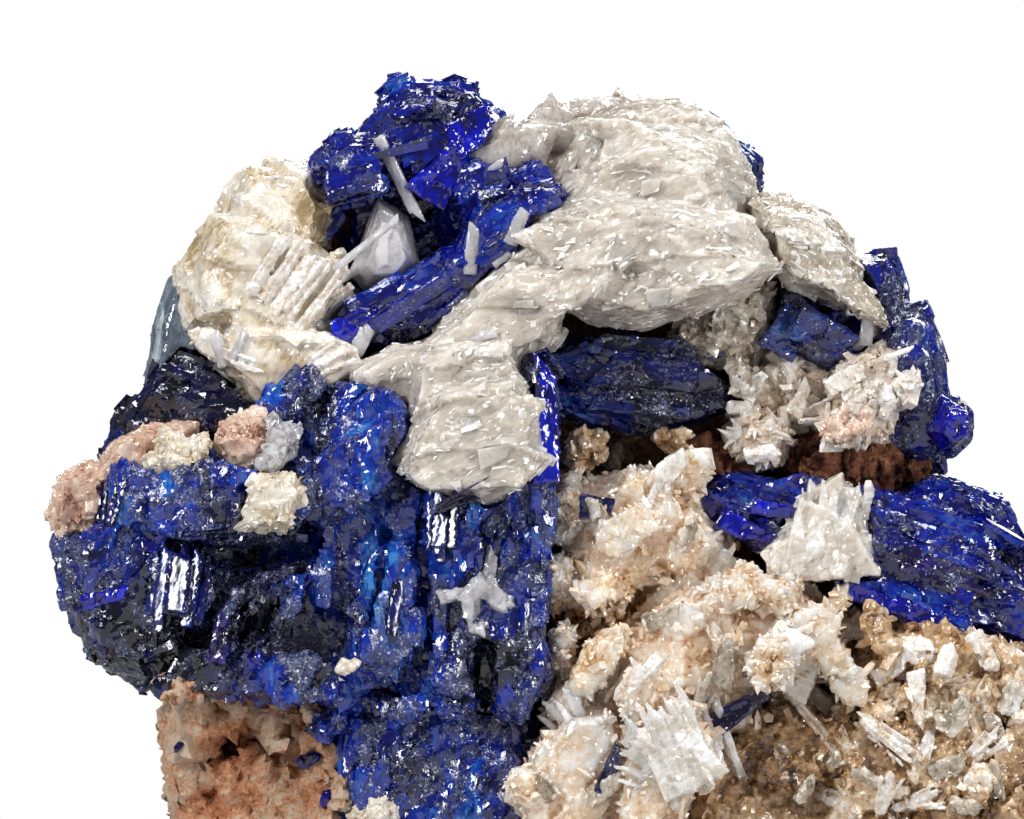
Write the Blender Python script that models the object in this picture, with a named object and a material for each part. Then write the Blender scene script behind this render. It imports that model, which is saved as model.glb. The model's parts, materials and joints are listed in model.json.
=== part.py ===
"""A linarite specimen: deep blue crystals and pale crystals grown together on a piece of host rock.

+Z is up, and the crystals face -Y. The origin lies on the flat underside of the rock, so the specimen
stands on z = 0. Everything is modelled in millimetres, and each finished mesh is scaled to metres.

Each mineral is a list of convex lumps that a Boolean union grows together. The minerals stand in order,
from the outermost to the innermost, and each is cut back by those before it, so that they interlock.
"""

import math
import random

import bmesh
import bpy
from mathutils import Euler, Matrix, Vector
from mathutils.bvhtree import BVHTree

MM = 0.001
SEAT_GAP = 0.3
WELD = 1e-4
FLAT_ANGLE = math.radians(1.5)
SHARPEST = 2.5
SEED = 7

# Driving depths along Y: the foremost crystal faces, the rock wall that crystals back on to, with the
# plane where they end in front of it, and the back of the rock
FRONT = -12.6
ROCK_FACE = 0.8
SEAT = ROCK_FACE - 0.5
ROCK_BACK = 12.0
FLOOR = 0.0

# A blade's chisel end takes this share of its length, and a point crystal's prism this share of its own
CHISEL = 0.22
PRISM = 0.55

GOLDEN_TURN = math.pi * (3 - math.sqrt(5))


class Lump:
    """A convex lump, given by its corners. Small crystals can stand between its rim and its girth."""

    def __init__(self, corners, rim=(), girth=()):
        self.corners = corners
        self.rim = rim
        self.girth = girth
        self.middle = sum(corners, Vector()) / len(corners)


def boulder(outline, front, back, nose=0.6, heel=0.75, girth=0.4, lean=(0.0, 0.0)):
    """A lump with this outline, seen from the front as (x, z). It narrows to its nose and to its heel.

    girth is how far behind the front the lump is widest, as a share of its depth. lean shifts the nose.
    """
    mid_x = sum(x for x, _ in outline) / len(outline)
    mid_z = sum(z for _, z in outline) / len(outline)

    def ring(points, depth, share, shift):
        return [
            Vector(
                (
                    mid_x + (x - mid_x) * share + shift[0],
                    depth,
                    max(mid_z + (z - mid_z) * share + shift[1], FLOOR),
                )
            )
            for x, z in points
        ]

    rim = ring(outline, front, nose, lean)
    belt = ring(outline, front + girth * (back - front), 1.0, (0.0, 0.0))
    end = ring(outline[::2], back, heel, (0.0, 0.0))
    return Lump(rim + belt + end, rim, belt)


def blade(at, length, width, depth, dip=0.0, swing=0.0):
    """A flat-faced blade with chisel ends. dip lowers its +X end, and swing turns it about Z."""
    body = length * (0.5 - CHISEL)
    turn = Euler((0.0, math.radians(dip), math.radians(swing))).to_matrix()
    corners = []
    for end in (-1, 1):
        for side in (-1, 1):
            corners.append(Vector((end * body, side * depth / 2, width / 2)))
            corners.append(Vector((end * body, side * depth / 2, -width / 2)))
            corners.append(Vector((end * length / 2, side * depth / 3, 0.0)))
    return Lump([turn @ corner + Vector(at) for corner in corners])


def point_crystal(root, aim, length, width, sides=4, twist=0.0):
    """A small crystal that stands on root and points along aim: a prism with a pyramid on top."""
    turn = Vector((0, 0, 1)).rotation_difference(Vector(aim).normalized())
    corners = [Vector((0, 0, length))]
    for height, share in ((-width, 0.9), (length * PRISM, 1.0)):
        for k in range(sides):
            angle = twist + 2 * math.pi * k / sides
            radius = share * width / 2
            corners.append(Vector((radius * math.cos(angle), radius * math.sin(angle), height)))
    return Lump([turn @ corner + Vector(root) for corner in corners])


def rubble(at, reach, seed, count=12):
    """A broken lump of rock: the hull of points scattered over an ellipsoid."""
    chance = random.Random(SEED + seed)
    corners = []
    for k in range(count):
        lift = 1 - 2 * (k + 0.5) / count
        around = GOLDEN_TURN * k + chance.uniform(-0.4, 0.4)
        level = math.sqrt(1 - lift * lift)
        spread = chance.uniform(0.82, 1.1)
        corner = Vector(
            (
                at[0] + reach[0] * level * math.cos(around) * spread,
                at[1] + reach[1] * level * math.sin(around) * spread,
                max(at[2] + reach[2] * lift * spread, FLOOR),
            )
        )
        corners.append(corner)
    return Lump(corners)


def studs(lump, count, length, width, seed, lowest=0.5):
    """Small crystals that stand out of a boulder, spaced round it between its rim and its girth."""
    chance = random.Random(SEED + seed)
    sides = len(lump.rim)
    crystals = []
    for k in range(count):
        place = (k + chance.uniform(0.1, 0.9)) * sides / count
        first = int(place) % sides
        second = (first + 1) % sides
        along = place - int(place)
        inner = lump.rim[first].lerp(lump.rim[second], along)
        outer = lump.girth[first].lerp(lump.girth[second], along)
        root = outer.lerp(inner, chance.uniform(0.1, 0.9))
        aim = (root - lump.middle).normalized() + Vector((0, -0.5, 0))
        aim += Vector([chance.uniform(-0.35, 0.35) for _ in range(3)])
        size = chance.uniform(0.7, 1.3)
        crystal = point_crystal(root, aim, length * size, width * size, twist=chance.uniform(0, 2))
        if min(corner.z for corner in crystal.corners) > lowest:
            crystals.append(crystal)
    return crystals


# The crystal in the upper hollow and the needle that leans over it

NEEDLE_TOP = Vector((-8.3, -6.3, 38.3))
NEEDLE_FOOT = Vector((-5.8, -5.0, 34.3))
CLEAR_CRYSTAL = [(-9.4, 31.6), (-8.1, 35.4), (-6.7, 34.4), (-6.1, 32.2), (-7.0, 30.9), (-8.8, 30.9)]


def needle():
    run = NEEDLE_FOOT - NEEDLE_TOP
    shaft = point_crystal(NEEDLE_TOP, run, run.length, 0.55, 6)
    stub = point_crystal(NEEDLE_TOP + Vector((0.1, 0.25, -0.6)), run, run.length * 0.42, 0.8, 6)
    return [shaft, stub]


def clear_crystal():
    lump = boulder(CLEAR_CRYSTAL, -6.4, -0.5, nose=0.55)
    rod = point_crystal((-7.6, -5.0, 33.4), (-1.0, -0.15, -0.95), 3.4, 0.55, 6)
    return [lump, rod]


# The small crystals that sit along the left ledge

PINK_TUFT = [(-16.2, 23.0), (-15.6, 24.3), (-14.2, 24.7), (-13.7, 23.4), (-14.2, 22.1), (-15.6, 22.1)]
GLASSY_TUFT = [(-13.9, 22.9), (-13.4, 24.2), (-12.3, 23.7), (-12.4, 22.6), (-13.2, 21.9)]
WHITE_TUFT = [(-19.7, 22.2), (-18.5, 23.3), (-16.7, 23.1), (-16.5, 22.1), (-18.4, 21.6)]
LEDGE_BLOCK = [(-14.8, 18.9), (-14.3, 21.3), (-12.3, 21.5), (-11.8, 20.7), (-12.5, 18.9)]


def pink_tuft():
    lump = boulder(PINK_TUFT, -12.9, -8.0)
    return [lump] + studs(lump, 3, 0.9, 1.0, 1)


def glassy_tuft():
    lump = boulder(GLASSY_TUFT, -13.2, -9.0)
    return [lump] + studs(lump, 3, 0.8, 0.9, 2)


def white_tuft():
    lump = boulder(WHITE_TUFT, -12.9, -9.5, nose=0.65)
    return [lump] + studs(lump, 3, 0.8, 0.9, 3)


def ledge_block():
    return [boulder(LEDGE_BLOCK, -14.4, -10.5, nose=0.75)]


# The pale crystals: the crown with its lobe, the masses beside it and the fluted wedge

CROWN_DOME = [
    (-0.6, 36.4), (1.3, 39.0), (4.3, 40.3), (6.5, 40.3), (9.3, 38.5), (10.8, 35.9), (10.6, 33.9), (2.0, 33.3),
]
CROWN_SHELF = [
    (-2.0, 31.0), (-0.6, 34.6), (3.0, 35.7), (10.7, 34.2), (11.9, 31.8), (9.6, 30.6), (5.4, 29.2), (2.5, 29.3),
]
CROWN_SWEEP = [(-6.6, 27.4), (-4.0, 29.4), (-1.4, 32.6), (1.7, 32.6), (0.9, 28.4), (0.0, 27.4), (-4.0, 26.0)]
CROWN_WING = [(-9.6, 26.5), (-7.2, 28.0), (-4.6, 28.6), (-4.4, 25.4), (-7.4, 24.6), (-9.0, 25.4)]
CROWN_LOBE = [(-7.6, 22.0), (-6.0, 20.8), (-2.6, 20.1), (0.2, 21.6), (0.1, 24.2), (-1.0, 26.8), (-5.6, 26.4)]
CROWN_NECK = [(-6.6, 24.4), (-6.4, 27.6), (-1.2, 28.4), (-0.4, 24.4)]
CROWN_LEFT = [(-3.8, 37.2), (-1.9, 39.3), (0.2, 39.1), (1.6, 37.0), (0.4, 35.6), (-2.8, 35.7)]
CROWN_PEAK = [(-0.9, 39.0), (0.6, 40.7), (1.8, 39.2), (0.8, 38.0)]
CROWN_TOP = [(2.4, 39.6), (4.0, 40.8), (5.3, 40.4), (5.0, 39.0)]


def crown():
    return [
        boulder(CROWN_DOME, -7.6, 4.5, nose=0.58, lean=(0.0, -1.4)),
        boulder(CROWN_SHELF, -10.6, SEAT, nose=0.72, girth=0.3),
        boulder(CROWN_SWEEP, -12.0, -1.5, nose=0.7),
        boulder(CROWN_WING, -10.8, -3.0, nose=0.6),
        boulder(CROWN_LOBE, -15.0, -8.6, nose=0.68, girth=0.45),
        boulder(CROWN_NECK, -13.4, -7.0, nose=0.8),
        boulder(CROWN_LEFT, -4.0, 3.5, nose=0.6),
        boulder(CROWN_PEAK, -1.5, 2.6, nose=0.5),
        boulder(CROWN_TOP, -1.5, 3.0, nose=0.6),
        blade((3.4, -9.9, 33.0), 9.4, 2.0, 2.6, dip=6, swing=4),
        blade((7.2, -9.6, 31.6), 8.0, 1.8, 2.4, dip=-8, swing=-6),
        blade((1.6, -10.6, 31.2), 7.0, 1.8, 2.4, dip=-34, swing=10),
        blade((5.8, -5.0, 37.0), 8.6, 2.4, 4.0, dip=32),
        blade((-3.4, -13.6, 22.0), 7.8, 2.0, 3.0, dip=-4),
        blade((-3.0, -13.4, 24.2), 6.4, 1.7, 3.0, dip=-16),
        blade((-2.4, -2.6, 36.6), 3.6, 1.4, 3.0, dip=-48),
    ]


RIGHT_PALE = [
    (10.4, 35.6), (12.2, 35.5), (14.2, 34.8), (15.3, 33.6), (16.2, 31.4), (15.4, 29.6), (12.6, 30.8), (11.2, 32.4),
]


def right_pale():
    return [
        boulder(RIGHT_PALE, -7.4, SEAT, nose=0.6),
        blade((15.6, -6.2, 31.0), 5.4, 1.3, 1.5, dip=48),
        blade((14.2, -6.6, 32.4), 5.4, 1.3, 1.6, dip=55, swing=8),
        blade((16.3, -4.6, 28.2), 3.6, 1.0, 1.2, dip=74),
    ]


LEFT_PALE_TOP = [
    (-16.2, 34.8), (-15.0, 36.9), (-13.0, 37.4), (-11.2, 37.0), (-10.2, 35.0), (-10.9, 32.4), (-14.2, 31.8),
]
LEFT_PALE_MID = [
    (-18.1, 31.8), (-16.5, 34.5), (-13.0, 34.7), (-10.4, 32.2), (-9.4, 30.0), (-12.2, 28.6), (-17.8, 28.9),
]
LEFT_PALE_LOW = [
    (-17.0, 27.9), (-15.6, 29.2), (-11.0, 29.3), (-9.2, 27.9), (-8.8, 26.4), (-10.2, 25.1), (-14.4, 25.0),
]
FAN_BLADES = 3


def left_pale():
    top = boulder(LEFT_PALE_TOP, -6.4, 3.5, nose=0.62)
    mid = boulder(LEFT_PALE_MID, -8.8, SEAT, nose=0.64)
    low = boulder(LEFT_PALE_LOW, -9.4, -0.5, nose=0.66)
    fan = [
        blade((-10.9 - 1.2 * k, -8.2, 30.9 - 0.45 * k), 4.2, 1.2, 1.3, dip=-62 + 6 * k)
        for k in range(FAN_BLADES)
    ]
    slats = [
        blade((-15.6, -8.0, 27.8), 4.2, 1.0, 1.6, dip=24),
        blade((-10.2, -8.6, 27.6), 3.0, 0.9, 1.4, dip=38),
        blade((-15.4, -7.6, 31.8), 4.4, 2.0, 2.4, dip=-64),
    ]
    return [top, mid, low] + fan + slats + studs(low, 3, 1.3, 1.2, 4) + studs(top, 3, 1.1, 1.4, 5)


CRUST_KNOB = [(-24.5, 19.5), (-24.0, 21.4), (-22.4, 22.2), (-21.4, 20.8), (-21.8, 18.8), (-23.8, 18.4)]
CRUST_BAND = [(-22.8, 20.8), (-21.4, 23.0), (-19.6, 24.0), (-16.9, 24.2), (-17.6, 22.8), (-20.6, 20.8)]


def crust():
    knob = boulder(CRUST_KNOB, -9.4, -2.0)
    band = boulder(CRUST_BAND, -10.8, -3.0, nose=0.7)
    return [knob, band] + studs(knob, 4, 0.6, 1.0, 6)


PALE_WEDGE = [(11.2, 17.8), (14.0, 20.6), (15.4, 21.1), (16.2, 19.9), (16.8, 17.6), (15.5, 16.5), (12.6, 16.4)]
WEDGE_FLUTES = 3


def pale_wedge():
    flutes = [
        blade((13.0 + 0.75 * k, -9.6, 19.6 + 0.45 * k), 2.6, 0.7, 1.2, dip=-62)
        for k in range(WEDGE_FLUTES)
    ]
    return [boulder(PALE_WEDGE, -11.0, -4.0, nose=0.74, lean=(0.2, -0.2))] + flutes


GREY_CLUSTER = [(7.2, 27.6), (6.9, 29.6), (9.0, 31.4), (11.6, 31.4), (12.0, 28.6), (10.5, 26.9)]


def grey_cluster():
    lump = boulder(GREY_CLUSTER, -6.6, SEAT, nose=0.55)
    rod = blade((10.2, -6.4, 26.8), 2.4, 0.55, 0.6, dip=80)
    return [lump, rod] + studs(lump, 3, 1.2, 1.1, 7)


# The linarite: the large left crystal, the top cluster, the pocket crystal and the right-hand blades

BULGE = [
    (-24.0, 18.7), (-23.7, 15.6), (-22.4, 12.2), (-19.8, 10.6), (-16.8, 11.4), (-16.2, 19.0), (-21.0, 21.0),
]
CORE = [(-18.0, 10.9), (-5.0, 10.5), (-4.2, 16.0), (-5.0, 22.0), (-9.0, 23.6), (-17.0, 21.5)]
FOOT_RIM = [(-20.0, 10.8), (-18.8, 13.2), (-14.0, 12.3), (-9.4, 12.2), (-9.2, 10.2), (-14.6, 10.3)]
LIP_LEFT = [(-21.3, 19.0), (-21.2, 21.7), (-17.6, 22.6), (-12.4, 21.4), (-11.6, 18.6), (-15.6, 18.0)]
LIP_RIGHT = [(-13.0, 18.7), (-12.4, 21.8), (-7.4, 24.4), (-5.2, 23.4), (-7.2, 21.2), (-10.0, 19.4)]
MAIN_FACE = [(-12.6, 17.2), (-11.4, 19.8), (-8.0, 22.4), (-5.4, 21.4), (-5.4, 14.6), (-9.0, 13.2), (-11.4, 14.4)]
RIB = [(-9.4, 11.0), (-9.0, 17.4), (-8.0, 19.4), (-6.4, 19.2), (-5.6, 15.0), (-5.8, 10.4)]
COLUMN = [(-5.6, 10.6), (-1.0, 9.4), (0.1, 11.6), (0.5, 20.0), (0.5, 27.3), (-1.2, 27.4), (-5.6, 24.6)]
LEDGE_BACK = [(-14.6, 21.6), (-14.2, 25.2), (-12.0, 26.0), (-8.4, 26.6), (-5.6, 24.6), (-5.4, 21.8)]


def left_linarite():
    return [
        boulder(BULGE, -11.6, 1.5, nose=0.64),
        boulder(CORE, -9.4, SEAT, nose=0.92),
        boulder(FOOT_RIM, -11.6, -4.0, nose=0.76),
        boulder(LIP_LEFT, -13.2, -5.0, nose=0.86, girth=0.3, lean=(0.0, 0.1)),
        boulder(LIP_RIGHT, -13.0, -5.0, nose=0.84, girth=0.3),
        boulder(MAIN_FACE, -11.2, -5.0, nose=0.74, girth=0.5),
        boulder(RIB, -12.3, -5.0, nose=0.62),
        boulder(COLUMN, FRONT, -1.0, nose=0.93, heel=0.9, girth=0.15),
        boulder(LEDGE_BACK, -9.8, -1.0, nose=0.8),
        blade((-14.2, -10.4, 14.3), 6.6, 1.3, 3.6, dip=-42, swing=4),
        blade((-18.0, -11.0, 16.2), 4.6, 2.4, 2.0, dip=66, swing=10),
        blade((-20.2, -10.0, 14.2), 4.4, 1.5, 2.4, dip=24),
        blade((-3.6, -12.4, 17.0), 8.4, 1.4, 1.6, dip=86),
        blade((-11.9, -9.4, 25.6), 2.6, 1.2, 1.6, dip=-70),
        blade((-13.2, -9.6, 24.2), 3.2, 1.7, 1.6, dip=86),
        blade((-9.0, -10.2, 24.0), 5.6, 1.4, 2.0, dip=-40),
    ]


SHOULDER = [(-21.9, 22.4), (-21.0, 24.7), (-18.6, 26.0), (-17.9, 28.2), (-15.4, 27.0), (-14.9, 23.4), (-18.0, 22.0)]
SIDE_BLADE = [(-19.9, 25.4), (-19.3, 29.0), (-18.6, 31.3), (-17.8, 32.0), (-16.6, 31.0), (-17.0, 25.6)]


def shoulder():
    return [
        boulder(SHOULDER, -8.4, 3.5, nose=0.62),
        blade((-18.4, -6.2, 25.2), 4.4, 1.5, 2.2, dip=-38),
        blade((-16.4, -7.4, 25.4), 3.6, 1.8, 2.0, dip=8),
    ]


def side_blade():
    return [boulder(SIDE_BLADE, -5.6, 4.5, nose=0.86, girth=0.5, lean=(0.5, 0.0))]


CREST = [(-9.6, 37.4), (-8.6, 39.2), (-6.9, 40.9), (-3.4, 40.8), (-1.8, 39.6), (-3.4, 37.2), (-6.0, 36.2)]
CREST_ARM = [(-11.3, 37.2), (-10.0, 38.4), (-7.6, 38.4), (-7.4, 35.6), (-10.9, 34.6)]
SLOPE = [(-4.2, 33.0), (-2.2, 31.2), (0.8, 33.4), (1.6, 36.3), (-0.6, 36.8), (-3.0, 35.8)]
BAND = [(-11.2, 29.4), (-8.4, 27.2), (-5.2, 28.4), (-2.4, 30.8), (-1.8, 33.4), (-4.6, 33.0), (-7.6, 31.0)]
HOLLOW_BACK = [(-9.4, 30.6), (-9.8, 36.6), (-4.0, 38.0), (-1.4, 35.0), (-3.4, 30.6)]


def top_linarite():
    return [
        boulder(CREST, -5.2, 5.0, nose=0.66, lean=(0.2, -0.5)),
        boulder(CREST_ARM, -6.6, 3.0, nose=0.7),
        boulder(SLOPE, -8.2, SEAT, nose=0.6, lean=(0.4, -0.5)),
        boulder(BAND, -7.8, SEAT, nose=0.66),
        boulder(HOLLOW_BACK, -1.8, SEAT, nose=0.9),
        blade((-8.0, -7.4, 29.4), 6.6, 1.4, 2.0, dip=-24),
        blade((-4.8, -7.4, 30.6), 6.4, 1.5, 2.2, dip=-38),
        blade((-3.4, -3.6, 34.8), 4.8, 2.0, 3.6, dip=76, swing=20),
        blade((-1.4, -7.4, 34.2), 5.4, 1.4, 2.0, dip=-36),
        blade((-5.6, -3.8, 38.8), 5.0, 2.2, 3.4, dip=-8),
    ]


REAR_CREST = [(6.6, 39.4), (8.6, 39.2), (10.7, 37.2), (10.8, 34.4), (7.6, 34.6)]


def rear_crest():
    return [boulder(REAR_CREST, -1.0, 6.0, nose=0.8)]


POCKET_CRYSTAL = [(0.9, 24.6), (0.9, 28.2), (5.6, 27.8), (9.8, 27.2), (9.6, 24.9), (5.0, 23.4)]


def pocket_crystal():
    return [
        boulder(POCKET_CRYSTAL, -5.2, SEAT, nose=0.86, girth=0.25),
        blade((5.0, -4.8, 26.8), 9.6, 1.8, 2.6, dip=5),
        blade((5.6, -3.0, 28.6), 8.4, 1.4, 3.0, dip=6),
        blade((4.6, -4.6, 25.0), 7.4, 1.3, 2.2, dip=4),
    ]


RIGHT_UNDER = [(11.8, 30.9), (13.6, 31.2), (16.3, 29.0), (16.0, 27.4), (14.4, 26.7), (11.7, 27.9)]
RIGHT_TOP = [(15.6, 30.4), (15.9, 32.6), (17.7, 32.8), (18.4, 30.8), (18.2, 28.2), (15.8, 28.6)]
RIGHT_WALL = [(17.0, 29.3), (19.3, 30.3), (20.2, 28.0), (20.5, 25.2), (20.4, 21.6), (17.4, 21.2), (16.6, 25.0)]
RIGHT_GEM = [(19.6, 24.4), (20.7, 25.3), (21.4, 24.6), (21.4, 23.4), (20.6, 22.6), (19.6, 23.2)]


def right_linarite():
    return [
        boulder(RIGHT_UNDER, -5.8, SEAT, nose=0.74),
        boulder(RIGHT_TOP, -3.6, 4.0, nose=0.74),
        boulder(RIGHT_WALL, -5.6, 5.5, nose=0.66, lean=(-0.5, 0.0)),
        boulder(RIGHT_GEM, -6.2, 0.0, nose=0.8, girth=0.25),
        blade((17.6, -5.0, 28.4), 3.6, 1.1, 1.4, dip=-14),
        blade((13.8, -5.6, 28.8), 3.4, 1.2, 1.6, dip=30),
        blade((18.8, -5.0, 25.8), 5.0, 1.6, 2.2, dip=80),
    ]


FAN_TOP = [
    (17.0, 20.6), (19.4, 21.5), (21.4, 20.9), (23.2, 20.2), (24.2, 18.4), (25.8, 15.4), (21.8, 16.2), (17.4, 18.4),
]
FAN_LEFT = [(7.4, 20.2), (8.8, 21.9), (12.0, 21.3), (17.2, 20.2), (16.6, 17.6), (11.0, 18.0)]
FAN_LOW = [(15.2, 17.6), (18.4, 18.6), (25.4, 15.8), (25.8, 12.8), (21.6, 13.9), (15.8, 14.8)]
FAN_ROWS = 5


def linarite_fan():
    rows = [
        blade((20.2 - 0.3 * k, -7.4 - 0.4 * k, 19.2 - 1.15 * k), 9.4 - 0.5 * k, 1.1, 2.6, dip=19 + 2 * k)
        for k in range(FAN_ROWS)
    ]
    lumps = [
        boulder(FAN_TOP, -7.2, 5.5, nose=0.72),
        boulder(FAN_LEFT, -7.0, SEAT, nose=0.78),
        boulder(FAN_LOW, -8.8, 3.0, nose=0.78),
        blade((11.6, -6.6, 20.4), 7.4, 1.3, 2.2, dip=-9),
        blade((12.2, -7.4, 18.0), 4.4, 0.9, 1.4, dip=20),
    ]
    return lumps + rows


VEIN = [(-10.6, 4.6), (-10.6, 10.2), (-5.0, 11.2), (-0.2, 9.8), (-0.6, 4.0), (-3.2, 1.4), (-8.2, 1.6)]


def vein():
    return [
        boulder(VEIN, -10.4, -1.0, nose=0.72),
        blade((-4.4, -10.0, 8.6), 5.6, 1.6, 1.8, dip=-22),
        blade((-2.2, -10.0, 5.8), 4.4, 1.8, 1.8, dip=80),
        blade((-7.4, -9.8, 7.0), 4.6, 1.5, 1.6, dip=-48),
    ]


# The druse: crusts of small pale crystals, in the pocket and over the front of the rock

DRUSE_UPPER = [
    (0.8, 15.6), (0.8, 20.4), (2.8, 21.2), (5.6, 21.6), (7.9, 20.9), (9.6, 18.0), (8.4, 16.4), (3.4, 14.4),
]
DRUSE_MIDDLE = [(3.0, 12.6), (5.2, 15.0), (8.8, 16.6), (10.6, 15.2), (11.2, 12.0), (8.4, 9.4), (4.4, 9.6)]
DRUSE_RECESS = [(0.2, 9.0), (0.9, 16.0), (9.0, 17.0), (11.0, 9.0), (4.0, 7.6)]
DRUSE_LOWER = [(-0.6, 7.6), (1.6, 10.6), (4.2, 10.4), (5.0, 6.0), (3.0, 2.4), (-0.6, 2.2), (-1.6, 4.6)]
DRUSE_PLATES = [(4.0, 8.6), (5.2, 11.2), (7.0, 11.4), (9.2, 8.6), (7.6, 5.6), (5.2, 1.6), (3.6, 4.0)]
DRUSE_RIDGE = [(8.8, 15.4), (12.0, 16.5), (15.2, 15.0), (15.4, 12.4), (12.6, 10.4), (10.2, 11.4)]

# Larger crystals that stand in the front druse: middle, length, width, depth, dip
FRONT_CRYSTALS = [
    ((6.9, -9.6, 21.2), 4.0, 1.2, 1.4, -48),
    ((2.9, -12.0, 12.2), 4.4, 1.1, 1.3, -50),
    ((5.6, -13.4, 9.6), 4.8, 2.2, 1.6, 74),
    ((7.0, -13.0, 8.2), 5.2, 2.0, 1.6, 62),
    ((5.6, -13.2, 5.6), 5.2, 1.6, 1.8, -58),
    ((13.2, -12.0, 13.6), 3.6, 1.7, 1.6, -24),
    ((15.0, -11.8, 11.8), 4.6, 1.1, 1.4, 58),
    ((14.6, -11.0, 15.0), 3.0, 0.8, 0.9, -56),
    ((4.4, -11.0, 18.8), 4.0, 1.6, 1.8, -30),
]


def front_druse():
    upper = boulder(DRUSE_UPPER, -10.8, -0.5, nose=0.66)
    middle = boulder(DRUSE_MIDDLE, -12.0, -1.0, nose=0.64)
    recess = boulder(DRUSE_RECESS, -9.4, -0.5, nose=0.9)
    lower = boulder(DRUSE_LOWER, -12.6, -2.0, nose=0.66)
    plates = boulder(DRUSE_PLATES, -13.4, -2.0, nose=0.7)
    ridge = boulder(DRUSE_RIDGE, -11.6, -1.0, nose=0.64)
    crystals = [blade(at, *size, dip=dip) for at, *size, dip in FRONT_CRYSTALS]
    small = studs(upper, 5, 1.8, 1.8, 8) + studs(lower, 3, 1.7, 1.8, 9) + studs(ridge, 3, 1.7, 1.5, 10)
    return [upper, middle, recess, lower, plates, ridge] + crystals + small


SIDE_UPPER = [(14.2, 9.0), (14.6, 14.0), (18.0, 15.2), (22.0, 14.4), (25.6, 12.6), (25.8, 8.4), (20.0, 7.6)]
SIDE_LOWER = [(13.4, 9.6), (20.0, 10.6), (25.8, 9.4), (25.4, 3.4), (23.0, 0.9), (15.0, 0.9)]
SIDE_LEFT = [(6.2, 1.0), (7.6, 7.6), (12.0, 10.4), (16.0, 10.0), (16.8, 3.0), (12.0, 0.8)]

# Larger crystals that stand in the side druse: middle, length, width, depth, dip
SIDE_CRYSTALS = [
    ((17.6, -11.4, 8.6), 4.0, 1.1, 1.3, 38),
    ((20.2, -11.0, 12.2), 3.6, 1.6, 1.6, -20),
    ((23.4, -10.0, 11.8), 3.0, 1.2, 1.4, 64),
    ((21.6, -11.4, 5.6), 4.0, 1.5, 1.5, -46),
    ((12.6, -9.8, 6.6), 3.6, 1.3, 1.4, 20),
    ((17.0, -11.2, 13.6), 3.4, 1.2, 1.4, 70),
]


def side_druse():
    upper = boulder(SIDE_UPPER, -11.0, 2.5, nose=0.7)
    lower = boulder(SIDE_LOWER, -11.4, 3.5, nose=0.74)
    left = boulder(SIDE_LEFT, -9.4, 0.0, nose=0.72)
    crystals = [blade(at, *size, dip=dip) for at, *size, dip in SIDE_CRYSTALS]
    small = studs(upper, 4, 1.8, 1.5, 11) + studs(lower, 5, 1.9, 1.6, 12) + studs(left, 3, 1.6, 1.4, 13)
    return [upper, lower, left] + crystals + small


POCKET_DRUSE_LEFT = [(9.8, 24.6), (10.4, 27.2), (13.0, 27.9), (15.4, 26.0), (13.6, 23.8)]
POCKET_DRUSE_RIGHT = [(13.6, 24.2), (15.4, 28.2), (18.0, 28.6), (18.9, 25.2), (17.6, 22.4), (15.0, 22.6)]
POCKET_DRUSE_BALL = [(9.6, 22.8), (10.2, 24.4), (11.5, 24.7), (12.6, 23.7), (12.2, 22.1), (10.6, 21.8)]


def pocket_druse():
    left = boulder(POCKET_DRUSE_LEFT, -5.4, SEAT, nose=0.62)
    right = boulder(POCKET_DRUSE_RIGHT, -6.8, SEAT, nose=0.62)
    ball = boulder(POCKET_DRUSE_BALL, -7.2, -1.0)
    return [left, right, ball] + studs(left, 2, 1.2, 1.1, 14) + studs(right, 3, 1.3, 1.2, 15)


RUST = [(6.6, 21.2), (7.4, 23.2), (12.0, 22.8), (17.4, 23.8), (19.7, 22.0), (17.0, 20.0), (11.0, 19.8)]


def rust_seam():
    return [
        boulder(RUST, -5.2, SEAT, nose=0.84),
        blade((15.6, -5.2, 22.4), 5.0, 1.6, 1.8, dip=-10),
    ]


# The back, finished with the same minerals in smaller patches

BACK_BLADES = 3
BACK_DRUSE_CRYSTALS = 6


def back_linarite():
    """A low mound of blades across the back of the rock."""
    mound = [
        rubble((-6.4, 8.6, 24.4), (5.0, 3.8, 4.6), 21),
        rubble((0.6, 9.0, 26.0), (5.4, 3.4, 3.4), 22),
        rubble((7.4, 8.4, 26.4), (5.0, 3.8, 4.4), 23),
    ]
    blades = [
        blade((-6.4 + 6.4 * k, 11.0, 25.0 + 0.8 * k), 7.0, 1.8, 3.2, dip=-24 + 20 * k, swing=10 * k)
        for k in range(BACK_BLADES)
    ]
    return mound + blades


def back_druse(at, reach, seed):
    """A domed crust on the back of the rock, with crystals that point away from its middle."""
    chance = random.Random(SEED + seed)
    crystals = []
    for k in range(BACK_DRUSE_CRYSTALS):
        around = GOLDEN_TURN * k
        out = 0.75 * math.sqrt((k + 0.5) / BACK_DRUSE_CRYSTALS)
        way = Vector((out * math.cos(around), math.sqrt(1 - out * out), out * math.sin(around)))
        root = Vector([at[axis] + 0.8 * way[axis] * reach[axis] for axis in range(3)])
        size = chance.uniform(0.7, 1.2)
        crystals.append(point_crystal(root, way, 2.0 * size, 1.7 * size, twist=chance.uniform(0, 2)))
    return [rubble(at, reach, seed)] + crystals


def left_back_druse():
    return back_druse((-9.4, 8.4, 11.4), (6.2, 4.4, 4.6), 16)


def right_back_druse():
    return back_druse((13.0, 7.6, 13.0), (6.4, 4.6, 4.8), 17)


# The host rock: everything else grows on it, and it is cut back by all of them. Its lowest lumps reach
# below the floor here, and their rings are cut off flat there.

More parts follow.
